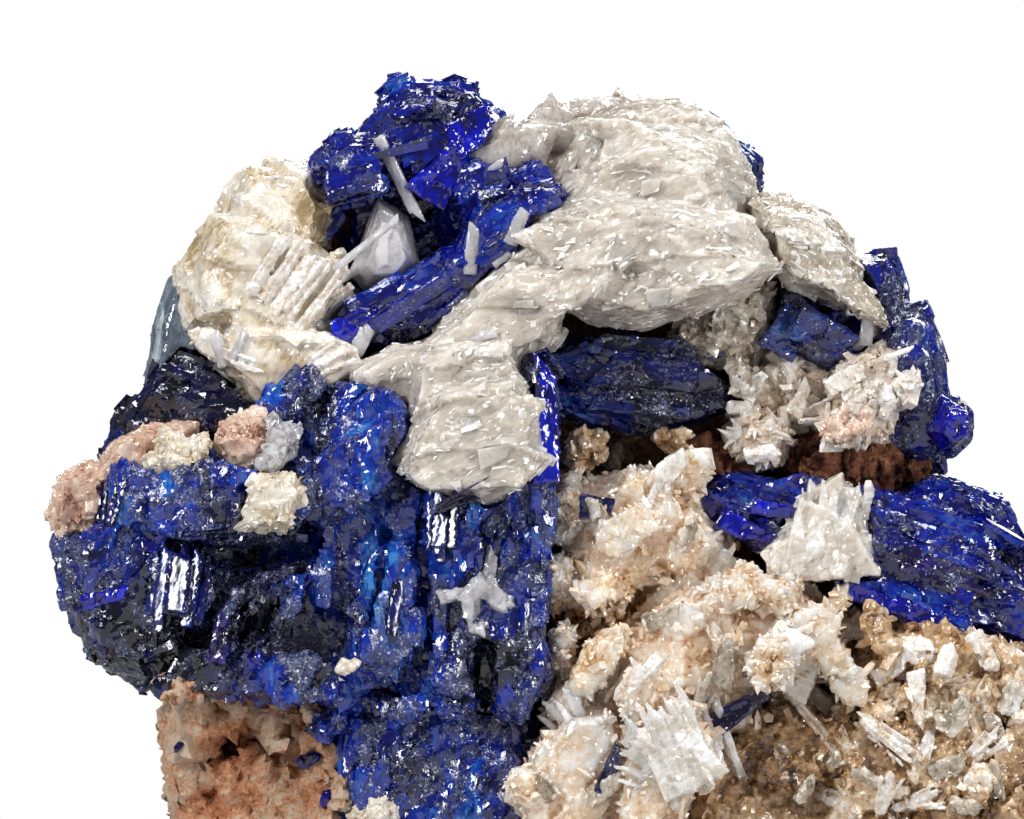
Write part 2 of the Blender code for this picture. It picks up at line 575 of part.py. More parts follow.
ROCK_FOOT = [
    (-17.4, -3.0), (-18.3, 4.4), (-18.8, 9.0), (-18.2, 13.6), (-6.0, 15.0),
    (8.0, 14.6), (18.0, 13.6), (24.0, 8.0), (22.6, -3.0),
]
ROCK_LEFT = [(-18.6, 12.0), (-20.2, 17.0), (-19.0, 24.0), (-15.4, 28.6), (-6.0, 31.0), (0.0, 30.0), (0.2, 12.0)]
ROCK_RIGHT = [(-2.0, 11.0), (-1.0, 20.8), (8.0, 20.6), (19.6, 20.8), (22.6, 16.0), (22.8, 10.6)]
ROCK_WALL = [(-6.0, 18.0), (-5.0, 33.4), (2.0, 36.0), (10.0, 35.0), (17.0, 30.6), (19.4, 25.0), (19.6, 17.0)]
ROCK_TOP = [
    (-16.4, 28.0), (-15.0, 33.6), (-10.0, 37.2), (-3.0, 38.2), (6.6, 38.4), (10.0, 35.6), (9.0, 29.0), (-6.0, 27.0),
]
ROCK_CORNER = [(-17.6, -3.0), (-18.4, 4.4), (-19.0, 9.2), (-17.6, 12.0), (-9.8, 11.6), (-9.7, 5.0), (-9.6, -3.0)]
ROCK_STEP = [(-14.4, -3.0), (-13.4, 5.6), (-10.2, 7.6), (-9.9, 4.0), (-9.6, -3.0)]
ROCK_SOLE = [(-16.0, -3.0), (-16.8, 2.2), (-2.0, 2.8), (21.0, 2.4), (21.8, -3.0)]

# Broken lumps that dome the back of the rock: middle and reach
ROCK_RUBBLE = [
    ((-11.0, 6.4, 5.4), (7.2, 5.4, 6.6)),
    ((0.6, 7.0, 6.0), (8.2, 5.4, 7.2)),
    ((13.4, 6.2, 6.0), (8.6, 5.4, 7.2)),
    ((-12.4, 5.2, 17.0), (6.6, 5.2, 6.6)),
    ((-2.4, 6.8, 16.6), (7.4, 5.2, 6.4)),
    ((8.6, 6.2, 18.4), (8.0, 5.6, 6.2)),
    ((-10.4, 4.6, 26.4), (6.2, 4.6, 5.4)),
    ((-0.6, 5.6, 28.6), (7.0, 4.6, 6.2)),
    ((9.6, 4.8, 28.4), (7.4, 4.6, 6.2)),
]


def host_rock():
    masses = [
        boulder(ROCK_FOOT, ROCK_FACE, 9.6, nose=0.94, heel=0.88),
        boulder(ROCK_SOLE, -8.4, 6.0, nose=0.94, girth=0.2),
        boulder(ROCK_CORNER, -8.4, 2.0, nose=0.86, girth=0.25),
        boulder(ROCK_STEP, -9.4, -4.0, nose=0.8),
        boulder(ROCK_LEFT, ROCK_FACE, 7.0, nose=0.9, heel=0.8),
        boulder(ROCK_RIGHT, ROCK_FACE, 7.6, nose=0.92, heel=0.84),
        boulder(ROCK_WALL, ROCK_FACE, 7.6, nose=0.96, heel=0.8),
        boulder(ROCK_TOP, ROCK_FACE, 6.0, nose=0.9, heel=0.74),
    ]
    broken = [
        rubble(at, (reach[0], min(reach[1], ROCK_BACK - at[1]), reach[2]), 30 + k)
        for k, (at, reach) in enumerate(ROCK_RUBBLE)
    ]
    return masses + broken


# Colours as linear RGB, then roughness
LINARITE = ((0.010, 0.022, 0.240), 0.22)
DARK_LINARITE = ((0.008, 0.014, 0.110), 0.26)
PALE = ((0.72, 0.66, 0.58), 0.38)
CLEAR = ((0.78, 0.76, 0.76), 0.15)
CREAM = ((0.66, 0.52, 0.38), 0.50)
PINK = ((0.62, 0.40, 0.30), 0.55)
BROWN = ((0.20, 0.075, 0.040), 0.80)
ROCK = ((0.38, 0.22, 0.15), 0.85)

# Name, lumps and finish: the outermost mineral first
MINERALS = [
    ("needle_crystal", needle, CLEAR),
    ("clear_crystal", clear_crystal, CLEAR),
    ("pink_crystal_tuft", pink_tuft, PINK),
    ("glassy_crystal_tuft", glassy_tuft, CLEAR),
    ("white_crystal_tuft", white_tuft, PALE),
    ("white_crystal_block", ledge_block, PALE),
    ("white_crystal_crown", crown, PALE),
    ("white_crystal_right", right_pale, PALE),
    ("white_crystal_left", left_pale, PALE),
    ("white_crystal_wedge", pale_wedge, PALE),
    ("pink_crust", crust, PINK),
    ("linarite_left", left_linarite, LINARITE),
    ("linarite_top", top_linarite, LINARITE),
    ("linarite_shoulder", shoulder, DARK_LINARITE),
    ("linarite_side_blade", side_blade, DARK_LINARITE),
    ("grey_crystal_cluster", grey_cluster, CLEAR),
    ("linarite_right", right_linarite, LINARITE),
    ("linarite_fan", linarite_fan, LINARITE),
    ("druse_pocket", pocket_druse, CREAM),
    ("linarite_pocket", pocket_crystal, DARK_LINARITE),
    ("linarite_vein", vein, DARK_LINARITE),
    ("druse_front", front_druse, CREAM),
    ("druse_side", side_druse, CREAM),
    ("linarite_crest", rear_crest, DARK_LINARITE),
    ("rust_seam", rust_seam, BROWN),
    ("linarite_back", back_linarite, LINARITE),
    ("druse_back_left", left_back_druse, CREAM),
    ("druse_back_right", right_back_druse, CREAM),
    ("host_rock", host_rock, ROCK),
]


def clear_scene():
    for old in list(bpy.data.objects):
        bpy.data.objects.remove(old)


def finish_material(name, finish):
    colour, roughness = finish
    material = bpy.data.materials.new(name)
    material.use_nodes = True
    shader = material.node_tree.nodes["Principled BSDF"]
    shader.inputs["Base Color"].default_value = (*colour, 1.0)
    shader.inputs["Roughness"].default_value = roughness
    shader.inputs["Metallic"].default_value = 0.0
    return material


def hull(corners, swell=0.0):
    """The convex shape round these corners. swell moves each of its faces outwards by that much."""
    shape = bmesh.new()
    for corner in corners:
        shape.verts.new(corner)
    bmesh.ops.remove_doubles(shape, verts=shape.verts, dist=WELD)
    made = bmesh.ops.convex_hull(shape, input=shape.verts)
    spare = {
        item
        for item in made["geom_interior"] + made["geom_unused"]
        if isinstance(item, bmesh.types.BMVert)
    }
    bmesh.ops.delete(shape, geom=list(spare), context="VERTS")
    bmesh.ops.dissolve_limit(shape, angle_limit=FLAT_ANGLE, verts=shape.verts, edges=shape.edges)
    bmesh.ops.recalc_face_normals(shape, faces=shape.faces)
    shape.normal_update()
    if not swell:
        return shape
    moved = [
        vert.co + vert.normal * swell * min(vert.calc_shell_factor(), SHARPEST) for vert in shape.verts
    ]
    shape.free()
    return hull(moved)


def hull_mesh(name, corners, swell=0.0):
    shape = hull(corners, swell)
    mesh = bpy.data.meshes.new(name)
    shape.to_mesh(mesh)
    shape.free()
    return mesh


def surface(lump):
    shape = hull(lump.corners, SEAT_GAP)
    tree = BVHTree.FromBMesh(shape)
    shape.free()
    return tree


def sockets(lumps):
    """One rough socket for each large lump, which also clears the small crystals nearest to it."""
    large = [lump for lump in lumps if lump.rim] or lumps[:1]
    shares = {lump: list(lump.corners) for lump in large}
    for lump in lumps:
        if lump not in shares:
            nearest = min(large, key=lambda one: (one.middle - lump.middle).length)
            shares[nearest] += lump.corners
    return [Lump(corners) for corners in shares.values()]


def boolean(obj, operation, meshes):
    """Joins the meshes to the object, or cuts them out of it, and keeps the result as its mesh."""
    tools = bpy.data.collections.new(operation.lower())
    bpy.context.scene.collection.children.link(tools)
    for mesh in meshes:
        tool = bpy.data.objects.new("tool", mesh)
        tool.hide_render = True
        tool.display_type = "WIRE"
        tools.objects.link(tool)
    step = obj.modifiers.new(operation.lower(), "BOOLEAN")
    step.operation = operation
    step.operand_type = "COLLECTION"
    step.collection = tools
    step.solver = "EXACT"
    graph = bpy.context.evaluated_depsgraph_get()
    made = bpy.data.meshes.new_from_object(obj.evaluated_get(graph))
    obj.modifiers.clear()
    obj.data = made
    for tool in list(tools.objects):
        bpy.data.objects.remove(tool)
    bpy.data.collections.remove(tools)


def bodies_of(shape):
    """The separate bodies of a bmesh, each as a set of faces."""
    left = set(shape.faces)
    found = []
    while left:
        queue = [left.pop()]
        body = set(queue)
        while queue:
            for edge in queue.pop().edges:
                for face in edge.link_faces:
                    if face in left:
                        left.remove(face)
                        body.add(face)
                        queue.append(face)
        found.append(body)
    return found


def volume(triangles):
    return sum(
        face.verts[0].co.dot(face.verts[1].co.cross(face.verts[2].co)) / 6 for face in triangles
    )


def settle(obj):
    """Drops the crumbs that a cut left behind, cleans the mesh and scales it to metres."""
    shape = bmesh.new()
    shape.from_mesh(obj.data)
    bmesh.ops.dissolve_limit(shape, angle_limit=FLAT_ANGLE, verts=shape.verts, edges=shape.edges)
    bmesh.ops.triangulate(shape, faces=shape.faces)
    bmesh.ops.remove_doubles(shape, verts=shape.verts, dist=WELD)
    bmesh.ops.dissolve_degenerate(shape, dist=WELD, edges=shape.edges)
    bodies = sorted(bodies_of(shape), key=volume, reverse=True)
    for crumb in bodies[1:]:
        bmesh.ops.delete(shape, geom=list(crumb), context="FACES")
    loose = [vert for vert in shape.verts if not vert.link_faces]
    bmesh.ops.delete(shape, geom=loose, context="VERTS")
    bmesh.ops.transform(shape, matrix=Matrix.Scale(MM, 4), verts=shape.verts)
    shape.to_mesh(obj.data)
    shape.free()


def grow(name, lumps, finish, neighbours):
    """One mineral: its lumps grown together, then cut back by the lumps of the minerals before it."""
    obj = bpy.data.objects.new(name, hull_mesh(name, lumps[0].corners))
    bpy.context.scene.collection.objects.link(obj)
    if len(lumps) > 1:
        boolean(obj, "UNION", [hull_mesh("lump", lump.corners) for lump in lumps[1:]])
    own = [surface(lump) for lump in lumps]
    cuts = [
        hull_mesh("cut", lump.corners, SEAT_GAP)
        for lump in neighbours
        if any(surface(lump).overlap(mine) for mine in own)
    ]
    if cuts:
        boolean(obj, "DIFFERENCE", cuts)
    settle(obj)
    obj.data.materials.clear()
    obj.data.materials.append(finish_material(name, finish))


def main():
    clear_scene()
    neighbours = []
    for name, make, finish in MINERALS:
        lumps = make()
        grow(name, lumps, finish, neighbours)
        neighbours += sockets(lumps)


main()
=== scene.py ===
# %% [markdown]
# # A linarite specimen
#
# Linarite is a copper and lead mineral of the deepest blue. This specimen carries it in striated masses and
# blades, together with translucent white crystals, sugary crusts of tiny points and a piece of pinkish brown
# host rock. The solids come packed, with every mineral as a node of its own. This script dresses them: each
# mineral gets a finely broken skin, thousands of small crystals, and a finish of its own.

import json
import math

import bmesh
import bpy
import numpy as np
from mathutils import Matrix, Vector, noise
from mathutils.bvhtree import BVHTree

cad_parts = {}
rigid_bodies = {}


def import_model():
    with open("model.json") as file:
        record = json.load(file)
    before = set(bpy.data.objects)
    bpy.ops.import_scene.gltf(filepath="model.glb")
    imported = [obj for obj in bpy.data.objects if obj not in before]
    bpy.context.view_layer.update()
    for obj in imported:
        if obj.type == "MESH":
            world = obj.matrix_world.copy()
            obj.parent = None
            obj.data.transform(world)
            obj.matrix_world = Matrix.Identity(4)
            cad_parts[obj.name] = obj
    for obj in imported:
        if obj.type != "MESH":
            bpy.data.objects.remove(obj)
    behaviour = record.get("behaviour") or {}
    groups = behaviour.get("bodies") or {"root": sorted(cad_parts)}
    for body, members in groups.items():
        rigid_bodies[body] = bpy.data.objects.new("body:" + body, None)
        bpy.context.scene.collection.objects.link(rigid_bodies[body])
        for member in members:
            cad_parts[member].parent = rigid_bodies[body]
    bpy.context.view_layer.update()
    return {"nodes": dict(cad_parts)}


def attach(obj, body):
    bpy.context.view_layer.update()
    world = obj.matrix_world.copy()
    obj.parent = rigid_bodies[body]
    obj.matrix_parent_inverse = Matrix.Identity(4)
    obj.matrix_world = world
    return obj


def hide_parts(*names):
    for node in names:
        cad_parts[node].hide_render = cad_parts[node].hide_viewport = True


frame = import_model()
MM = 0.001
noise.seed_set(3)  # without a seed, noise vectors are drawn from the clock
print("nodes:", len(frame["nodes"]))

# %% [markdown]
# ## Camera, light and floor
#
# The picture looks straight at the specimen from far away, through a long lens, so that nothing converges.
# Softboxes stand left and right of the camera, above it and behind the specimen, because crystal faces show
# what they reflect. The surroundings are white to the camera and dark grey to the crystals, which keeps their
# hollows dark.

# %% Camera
VIEW_MIDDLE = (-1.4, 24.8)
VIEW_WIDTH = 51.2
CAMERA_AWAY = 1500.0
FRONT = 8.0
SENSOR = 36.0

camera_data = bpy.data.cameras.new("camera")
camera_data.sensor_width = SENSOR
camera_data.lens = SENSOR * CAMERA_AWAY / VIEW_WIDTH
camera_data.clip_start = 0.05
camera_data.clip_end = 10.0
camera = bpy.data.objects.new("camera", camera_data)
camera.location = (VIEW_MIDDLE[0] * MM, -(CAMERA_AWAY + FRONT) * MM, VIEW_MIDDLE[1] * MM)
camera.rotation_euler = (math.radians(90), 0.0, 0.0)
bpy.context.scene.collection.objects.link(camera)
bpy.context.scene.camera = camera
bpy.context.scene.view_settings.view_transform = "Standard"
print("lens in mm:", round(camera_data.lens))

# %% Softboxes
TARGET = Vector((0.0, 0.0, 0.022))


def softbox(name, place, size, power):
    """A rectangular light, in metres and watts, that faces the specimen and that the camera doesn't see."""
    data = bpy.data.lights.new(name, "AREA")
    data.shape = "RECTANGLE"
    data.size, data.size_y = size
    data.energy = power
    lamp = bpy.data.objects.new(name, data)
    lamp.location = place
    lamp.rotation_euler = (TARGET - Vector(place)).to_track_quat("-Z", "Y").to_euler()
    lamp.visible_camera = False
    bpy.context.scene.collection.objects.link(lamp)
    return lamp


softbox("softbox_left", (-0.42, -0.38, 0.26), (0.16, 0.26), 2.5)
softbox("softbox_right", (0.46, -0.34, 0.20), (0.14, 0.26), 1.9)
softbox("softbox_top", (0.02, -0.16, 0.55), (0.30, 0.20), 1.9)
softbox("softbox_back", (0.10, 0.50, 0.30), (0.36, 0.30), 1.6)
print("lights:", [light.name for light in bpy.data.lights])

# %% Colours and nodes
def colour(code):
    """An sRGB hex value as the linear colour that a node takes."""
    channels = [int(code[k : k + 2], 16) / 255 for k in (1, 3, 5)]
    linear = [c / 12.92 if c <= 0.04045 else ((c + 0.055) / 1.055) ** 2.4 for c in channels]
    return (*linear, 1.0)


def add(tree, kind, sockets=None, stops=(), **settings):
    """Adds a node. Its sockets take numbers, colours or outputs of other nodes. Stops fill a colour ramp."""
    node = tree.nodes.new(kind)
    for key, value in settings.items():
        setattr(node, key, value)
    for key, value in (sockets or {}).items():
        if isinstance(value, bpy.types.NodeSocket):
            tree.links.new(value, node.inputs[key])
        else:
            node.inputs[key].default_value = value
    for k, (place, code) in enumerate(stops):
        elements = node.color_ramp.elements
        element = elements[k] if k < len(elements) else elements.new(place)
        element.position = place
        element.color = colour(code)
    return node


# %% Surroundings
AMBIENT = "#b9b8b6"

world = bpy.data.worlds.new("studio")
bpy.context.scene.world = world
world.use_nodes = True
sky = world.node_tree
sky.nodes.clear()
path = add(sky, "ShaderNodeLightPath")
dim = add(sky, "ShaderNodeBackground", {"Color": colour(AMBIENT), "Strength": 0.25})
white = add(sky, "ShaderNodeBackground", {"Color": (1.0, 1.0, 1.0, 1.0), "Strength": 1.0})
from_camera = path.outputs["Is Camera Ray"]
choice = add(sky, "ShaderNodeMixShader", {0: from_camera, 1: dim.outputs[0], 2: white.outputs[0]})
add(sky, "ShaderNodeOutputWorld", {"Surface": choice.outputs[0]})
print("world:", world.name)

# %% Floor
FLOOR_RADIUS = 0.24

disc = bmesh.new()
bmesh.ops.create_circle(disc, cap_ends=True, segments=96, radius=FLOOR_RADIUS)
floor_mesh = bpy.data.meshes.new("floor")
disc.to_mesh(floor_mesh)
disc.free()
floor = bpy.data.objects.new("floor", floor_mesh)
bpy.context.scene.collection.objects.link(floor)
floor_finish = bpy.data.materials.new("grey_card")
floor_finish.use_nodes = True
card = floor_finish.node_tree.nodes["Principled BSDF"]
card.inputs["Base Color"].default_value = colour("#b4b4b4")
card.inputs["Roughness"].default_value = 0.9
floor_mesh.materials.append(floor_finish)
print("floor radius in mm:", FLOOR_RADIUS / MM)

# %% [markdown]
# ## Finishes
#
# Every finish reads Object coordinates turned into millimetres, so a size in it is a real size. Three
# things make a surface look like crystal. Its colour changes from patch to patch, because growth and
# inclusions vary. It is striated along the growth direction. And it is broken into tiny faces that each lean
# their own way: a Voronoi pattern gives every cell one random direction, and that direction leans the normal,
# so that single cells flash. Skins and crystals also carry values of their own: tone (low in recesses, which
# the finishes darken as painted shade), shade (darker or lighter regions, among them painted shade in
# hollows, painted light on shadowed faces and a painted glow) and dust (how much they are dulled).

# %% Shared finish steps
def new_finish(name):
    finish = bpy.data.materials.new(name)
    finish.use_nodes = True
    return finish, finish.node_tree, finish.node_tree.nodes["Principled BSDF"]


def in_millimetres(tree, warp=0.0):
    """Object coordinates in mm, bent by a slow noise so that patterns have uneven borders."""
    coords = add(tree, "ShaderNodeTexCoord")
    place = add(tree, "ShaderNodeMapping", {"Vector": coords.outputs["Object"], "Scale": (1 / MM,) * 3})
    bend = add(tree, "ShaderNodeTexNoise", {"Vector": place.outputs[0], "Scale": 1.1, "Detail": 2.0})
    return add(
        tree,
        "ShaderNodeVectorMath",
        {0: bend.outputs["Color"], 1: (warp,) * 3, 2: place.outputs[0]},
        operation="MULTIPLY_ADD",
    ).outputs[0]


def along_grain(tree, place, grain, squeeze):
    """Coordinates whose Z runs along the grain, an angle from upright, squeezed to draw patterns out."""
    upright = (0.0, -math.radians(grain), 0.0)
    turned = add(tree, "ShaderNodeMapping", {"Vector": place, "Rotation": upright}).outputs[0]
    return add(tree, "ShaderNodeMapping", {"Vector": turned, "Scale": (1.0, 1.0, squeeze)}).outputs[0]


def weighted(tree, parts, start=0.0):
    """A sum of sockets, each times its weight."""
    total = start
    for socket, weight in parts:
        step = add(tree, "ShaderNodeMath", {0: socket, 1: weight, 2: total}, operation="MULTIPLY_ADD")
        total = step.outputs[0]
    return total


def cell_chance(tree, place, size):
    """A Voronoi pattern of cells of this size: one random colour and one random number a cell."""
    cells = add(tree, "ShaderNodeTexVoronoi", {"Vector": place, "Scale": 1 / size})
    split = add(tree, "ShaderNodeSeparateColor", {0: cells.outputs["Color"]})
    return cells.outputs["Color"], split.outputs[0]


def leaning_normal(tree, leans):
    """The surface's normal, leant by each cell pattern's random colour, by a number or a socket."""
    normal = add(tree, "ShaderNodeNewGeometry").outputs["Normal"]
    for chance, lean in leans:
        centred = add(tree, "ShaderNodeVectorMath", {0: chance, 1: (0.5,) * 3}, operation="SUBTRACT")
        scaled = add(
            tree, "ShaderNodeVectorMath", {0: centred.outputs[0], "Scale": lean}, operation="SCALE"
        )
        leant = add(tree, "ShaderNodeVectorMath", {0: normal, 1: scaled.outputs[0]}, operation="ADD")
        normal = leant.outputs[0]
    return add(tree, "ShaderNodeVectorMath", {0: normal}, operation="NORMALIZE").outputs[0]


def carried(tree, *names):
    """Values that the mesh carries: its tone, shade or dust."""
    return [add(tree, "ShaderNodeAttribute", attribute_name=name).outputs["Fac"] for name in names]


# %% [markdown]
# ### Linarite
#
# Linarite is vitreous to almost adamantine, with an IOR near 1.83. It is so strongly coloured that a thick
# blade looks nearly black and only thin or tilted faces glow blue. Fine powder on it scatters light and
# looks slate grey with tiny bright grains. The finish therefore runs from near black over royal blue to
# azure, patch by patch, and lies under a dust of mixed grains, whose palest ones are painted glints.

# %% Linarite finish
LINARITE_IOR = 1.83
BLUE_STOPS = [
    (0.00, "#02040e"), (0.24, "#050c34"), (0.40, "#07166a"), (0.56, "#082490"), (0.72, "#0c3aa4"),
    (0.87, "#165ab0"), (1.00, "#367cc0"),
]
NAVY_STOPS = [
    (0.00, "#03030e"), (0.38, "#060b38"), (0.60, "#0b186a"), (0.82, "#173480"), (1.00, "#3a62a0"),
]
DEEP_STOPS = [
    (0.00, "#010114"), (0.35, "#02023c"), (0.60, "#030478"), (0.85, "#040ca0"), (1.00, "#0a20c4"),
]
SLATE_STOPS = [
    (0.00, "#1c2432"), (0.30, "#3c4858"), (0.55, "#627284"), (0.80, "#8e9caa"), (1.00, "#c4ccd4"),
]
VIOLET_STOPS = [
    (0.00, "#05040e"), (0.45, "#14103c"), (0.75, "#2a2070"), (1.00, "#5c549c"),
]
ROYAL_STOPS = [
    (0.00, "#01012c"), (0.28, "#020650"), (0.48, "#051078"), (0.66, "#0a2490"), (0.84, "#1646a0"),
    (1.00, "#3c74b8"),
]
# Dust grains from slate to pale blue. The near-white end is painted glints.
DUST_AND_PAINTED_GLINT_STOPS = [
    (0.00, "#10142c"), (0.50, "#2f3658"), (0.84, "#505c90"), (0.96, "#949cbe"), (1.00, "#e6e6f0"),
]


def linarite_finish(
    name, stops, grain=0.0, dusty=0.5, patch=1.9, lean=0.36, grit=0.09, rough=(0.08, 0.35), ridge=0.03
):
    """Striated blue crystal under dust. dusty is how much lies on it, patch and grit are sizes in mm."""
    finish, tree, shader = new_finish(name)
    place = in_millimetres(tree, warp=0.9)
    drawn = along_grain(tree, place, grain, 0.4)
    fibres = along_grain(tree, place, grain, 0.08)
    slow = add(
        tree, "ShaderNodeTexNoise", {"Vector": place, "Scale": 0.45, "Detail": 4.0, "Roughness": 0.65}
    ).outputs["Fac"]
    streak = add(
        tree, "ShaderNodeTexNoise", {"Vector": fibres, "Scale": 4.5, "Detail": 2.0, "Roughness": 0.6}
    ).outputs["Fac"]
    powder = add(
        tree, "ShaderNodeTexNoise", {"Vector": place, "Scale": 0.8, "Detail": 4.0, "Roughness": 0.7}
    ).outputs["Fac"]
    wide = cell_chance(tree, drawn, patch)[1]
    small_colour, small = cell_chance(tree, drawn, patch * 0.3)
    grit_colour, grit_value = cell_chance(tree, place, grit)
    tone, shade, dust = carried(tree, "tone", "shade", "dust")
    # Low tone darkens the recesses as painted shade. Shade lightens or darkens the listed spots.
    lightens = [(wide, 0.42), (small, 0.26), (slow, 1.3), (streak, 0.6), (tone, 0.3), (shade, 1.0)]
    body = add(tree, "ShaderNodeValToRGB", {"Fac": weighted(tree, lightens, -1.0)}, stops=stops)
    # The dust's grains, whose palest ones are painted glints.
    grains = add(tree, "ShaderNodeValToRGB", {"Fac": grit_value}, stops=DUST_AND_PAINTED_GLINT_STOPS)
    covers = [(powder, 5.5), (wide, -0.6), (small, -0.9), (grit_value, 0.6), (dust, 1.0)]
    cover = weighted(tree, covers, dusty - 2.65)
    dulled = add(tree, "ShaderNodeMapRange", {"Value": cover, "To Max": 0.85})
    blended = {0: dulled.outputs[0], 6: body.outputs[0], 7: grains.outputs[0]}
    surface = add(tree, "ShaderNodeMix", blended, data_type="RGBA")
    polish = add(tree, "ShaderNodeMapRange", {"Value": cover, "To Min": rough[0], "To Max": rough[1]})
    gritty = add(tree, "ShaderNodeMath", {0: dulled.outputs[0], 1: lean * 1.6}, operation="MULTIPLY")
    leaning = leaning_normal(tree, [(small_colour, lean), (grit_colour, gritty.outputs[0])])
    ridged = add(
        tree,
        "ShaderNodeBump",
        {"Height": streak, "Distance": ridge * MM, "Strength": 0.8, "Normal": leaning},
    )
    tree.links.new(surface.outputs[2], shader.inputs["Base Color"])
    tree.links.new(polish.outputs[0], shader.inputs["Roughness"])
    tree.links.new(ridged.outputs[0], shader.inputs["Normal"])
    shader.inputs["IOR"].default_value = LINARITE_IOR
    return finish


# %% [markdown]
# ### Pale crystals
#
# The pale minerals are colourless themselves. They look white because light bounces about inside them, so
# the large crystals have a subsurface finish with a short radius, whose shadows stay light and warm. In fine
# grains that shows too little for the render time that it takes. Over it lies a clear coat whose normal
# leans from cell to cell, for the glints of the cleavage. Recesses are darkened through the tone that each
# skin carries: painted shade, and on the druse also its real brown stain.

# %% Pale finish
PALE_IOR = 1.6


def pale_finish(
    name, stops, inside=0.0, clear=0.0, rough=(0.16, 0.42), lean=0.4,
    cell=0.16, grain=0.0, squeeze=0.9, stain_and_recess_shade=0.7,
):
    """Pale crystal. inside is how far light travels in it, in mm, and clear is its share of glass."""
    finish, tree, shader = new_finish(name)
    place = in_millimetres(tree, warp=0.5)
    fibres = along_grain(tree, place, grain, squeeze)
    slow = add(
        tree, "ShaderNodeTexNoise", {"Vector": place, "Scale": 0.5, "Detail": 3.0, "Roughness": 0.6}
    ).outputs["Fac"]
    fine = add(
        tree, "ShaderNodeTexNoise", {"Vector": fibres, "Scale": 4.0, "Detail": 3.0, "Roughness": 0.7}
    ).outputs["Fac"]
    cell_colour, cell_value = cell_chance(tree, fibres, cell)
    flake_colour, flake_value = cell_chance(tree, fibres, cell * 3)
    tone, shade = carried(tree, "tone", "shade")
    patches = [(slow, 1.2), (fine, 0.8), (cell_value, 0.2), (flake_value, 0.15)]
    # Low tone in recesses darkens the colour: painted shade, and on the druse also its brown stain.
    level = weighted(tree, patches + [(tone, stain_and_recess_shade), (shade, 1.0)], -0.67 - stain_and_recess_shade * 0.5)
    body = add(tree, "ShaderNodeValToRGB", {"Fac": level}, stops=stops)
    polish = add(
        tree,
        "ShaderNodeMapRange",
        {"Value": fine, "From Min": 0.35, "From Max": 0.65, "To Min": rough[0], "To Max": rough[1]},
    )
    calm = leaning_normal(tree, [(cell_colour, lean * 0.2), (flake_colour, lean * 0.2)])
    ridged = add(
        tree, "ShaderNodeBump", {"Height": fine, "Distance": 0.07 * MM, "Strength": 0.6, "Normal": calm}
    )
    glinting = leaning_normal(tree, [(cell_colour, lean), (flake_colour, lean * 0.6)])
    tree.links.new(body.outputs[0], shader.inputs["Base Color"])
    tree.links.new(polish.outputs[0], shader.inputs["Roughness"])
    tree.links.new(ridged.outputs[0], shader.inputs["Normal"])
    tree.links.new(glinting, shader.inputs["Coat Normal"])
    shader.inputs["Coat Weight"].default_value = 0.7
    shader.inputs["Coat Roughness"].default_value = 0.07
    shader.inputs["Coat IOR"].default_value = PALE_IOR
    shader.inputs["Subsurface Weight"].default_value = 1.0 - clear if inside else 0.0
    shader.inputs["Subsurface Radius"].default_value = (1.0, 0.94, 0.84)
    shader.inputs["Subsurface Scale"].default_value = inside * MM
    shader.inputs["Transmission Weight"].default_value = clear
    shader.inputs["IOR"].default_value = PALE_IOR
    return finish


WHITE_STOPS = [
    (0.00, "#988c80"), (0.25, "#b8aea2"), (0.50, "#cbc2b6"), (0.75, "#dad3c9"), (1.00, "#f8f6f4"),
]
CREAM_STOPS = [
    (0.00, "#6e4a2a"), (0.13, "#b48a5c"), (0.28, "#dab890"), (0.46, "#ead0b4"), (0.70, "#f4e6d6"),
    (1.00, "#fdfaf6"),
]
IVORY_STOPS = [
    (0.00, "#a08a64"), (0.22, "#cab798"), (0.46, "#dfd4c2"), (0.72, "#ece6dc"), (1.00, "#fefdfb"),
]
TAUPE_STOPS = [
    (0.00, "#341c0e"), (0.20, "#76502e"), (0.42, "#aa8458"), (0.62, "#c8a880"), (0.82, "#dfccb4"),
    (1.00, "#f6eee4"),
]
PINK_STOPS = [
    (0.00, "#7c5244"), (0.25, "#b98c76"), (0.50, "#d6b49e"), (0.75, "#e4cdbb"), (1.00, "#f2e8dd"),
]
MILKY_STOPS = [
    (0.00, "#b4afb4"), (0.40, "#d6d2d6"), (0.70, "#ebe8ea"), (1.00, "#ffffff"),
]
SMOKE_STOPS = [
    (0.00, "#8e8078"), (0.35, "#bcb0a6"), (0.65, "#dcd4cc"), (1.00, "#faf8f6"),
]
FROST_STOPS = [
    (0.00, "#7e6248"), (0.20, "#b89a7c"), (0.42, "#d8c6b2"), (0.70, "#eae4dc"), (1.00, "#ffffff"),
]
# Whiter than the white crystal around them, as painted glints.
FLAKE_PAINTED_GLINT_STOPS = [
    (0.00, "#ded8cf"), (1.00, "#f8f6f2"),
]
HONEY_STOPS = [
    (0.00, "#7a6c5c"), (0.30, "#a89a86"), (0.60, "#ccc0ae"), (0.85, "#e6dfd2"), (1.00, "#ffffff"),
]

# %% [markdown]
# ### Rock and rust
#
# The host rock is an altered, porous one, pinkish brown with paler grains. It is quite matt, so its finish is
# colour at three scales and a bump, with no gloss. The rust seam is the same finish in darker browns.

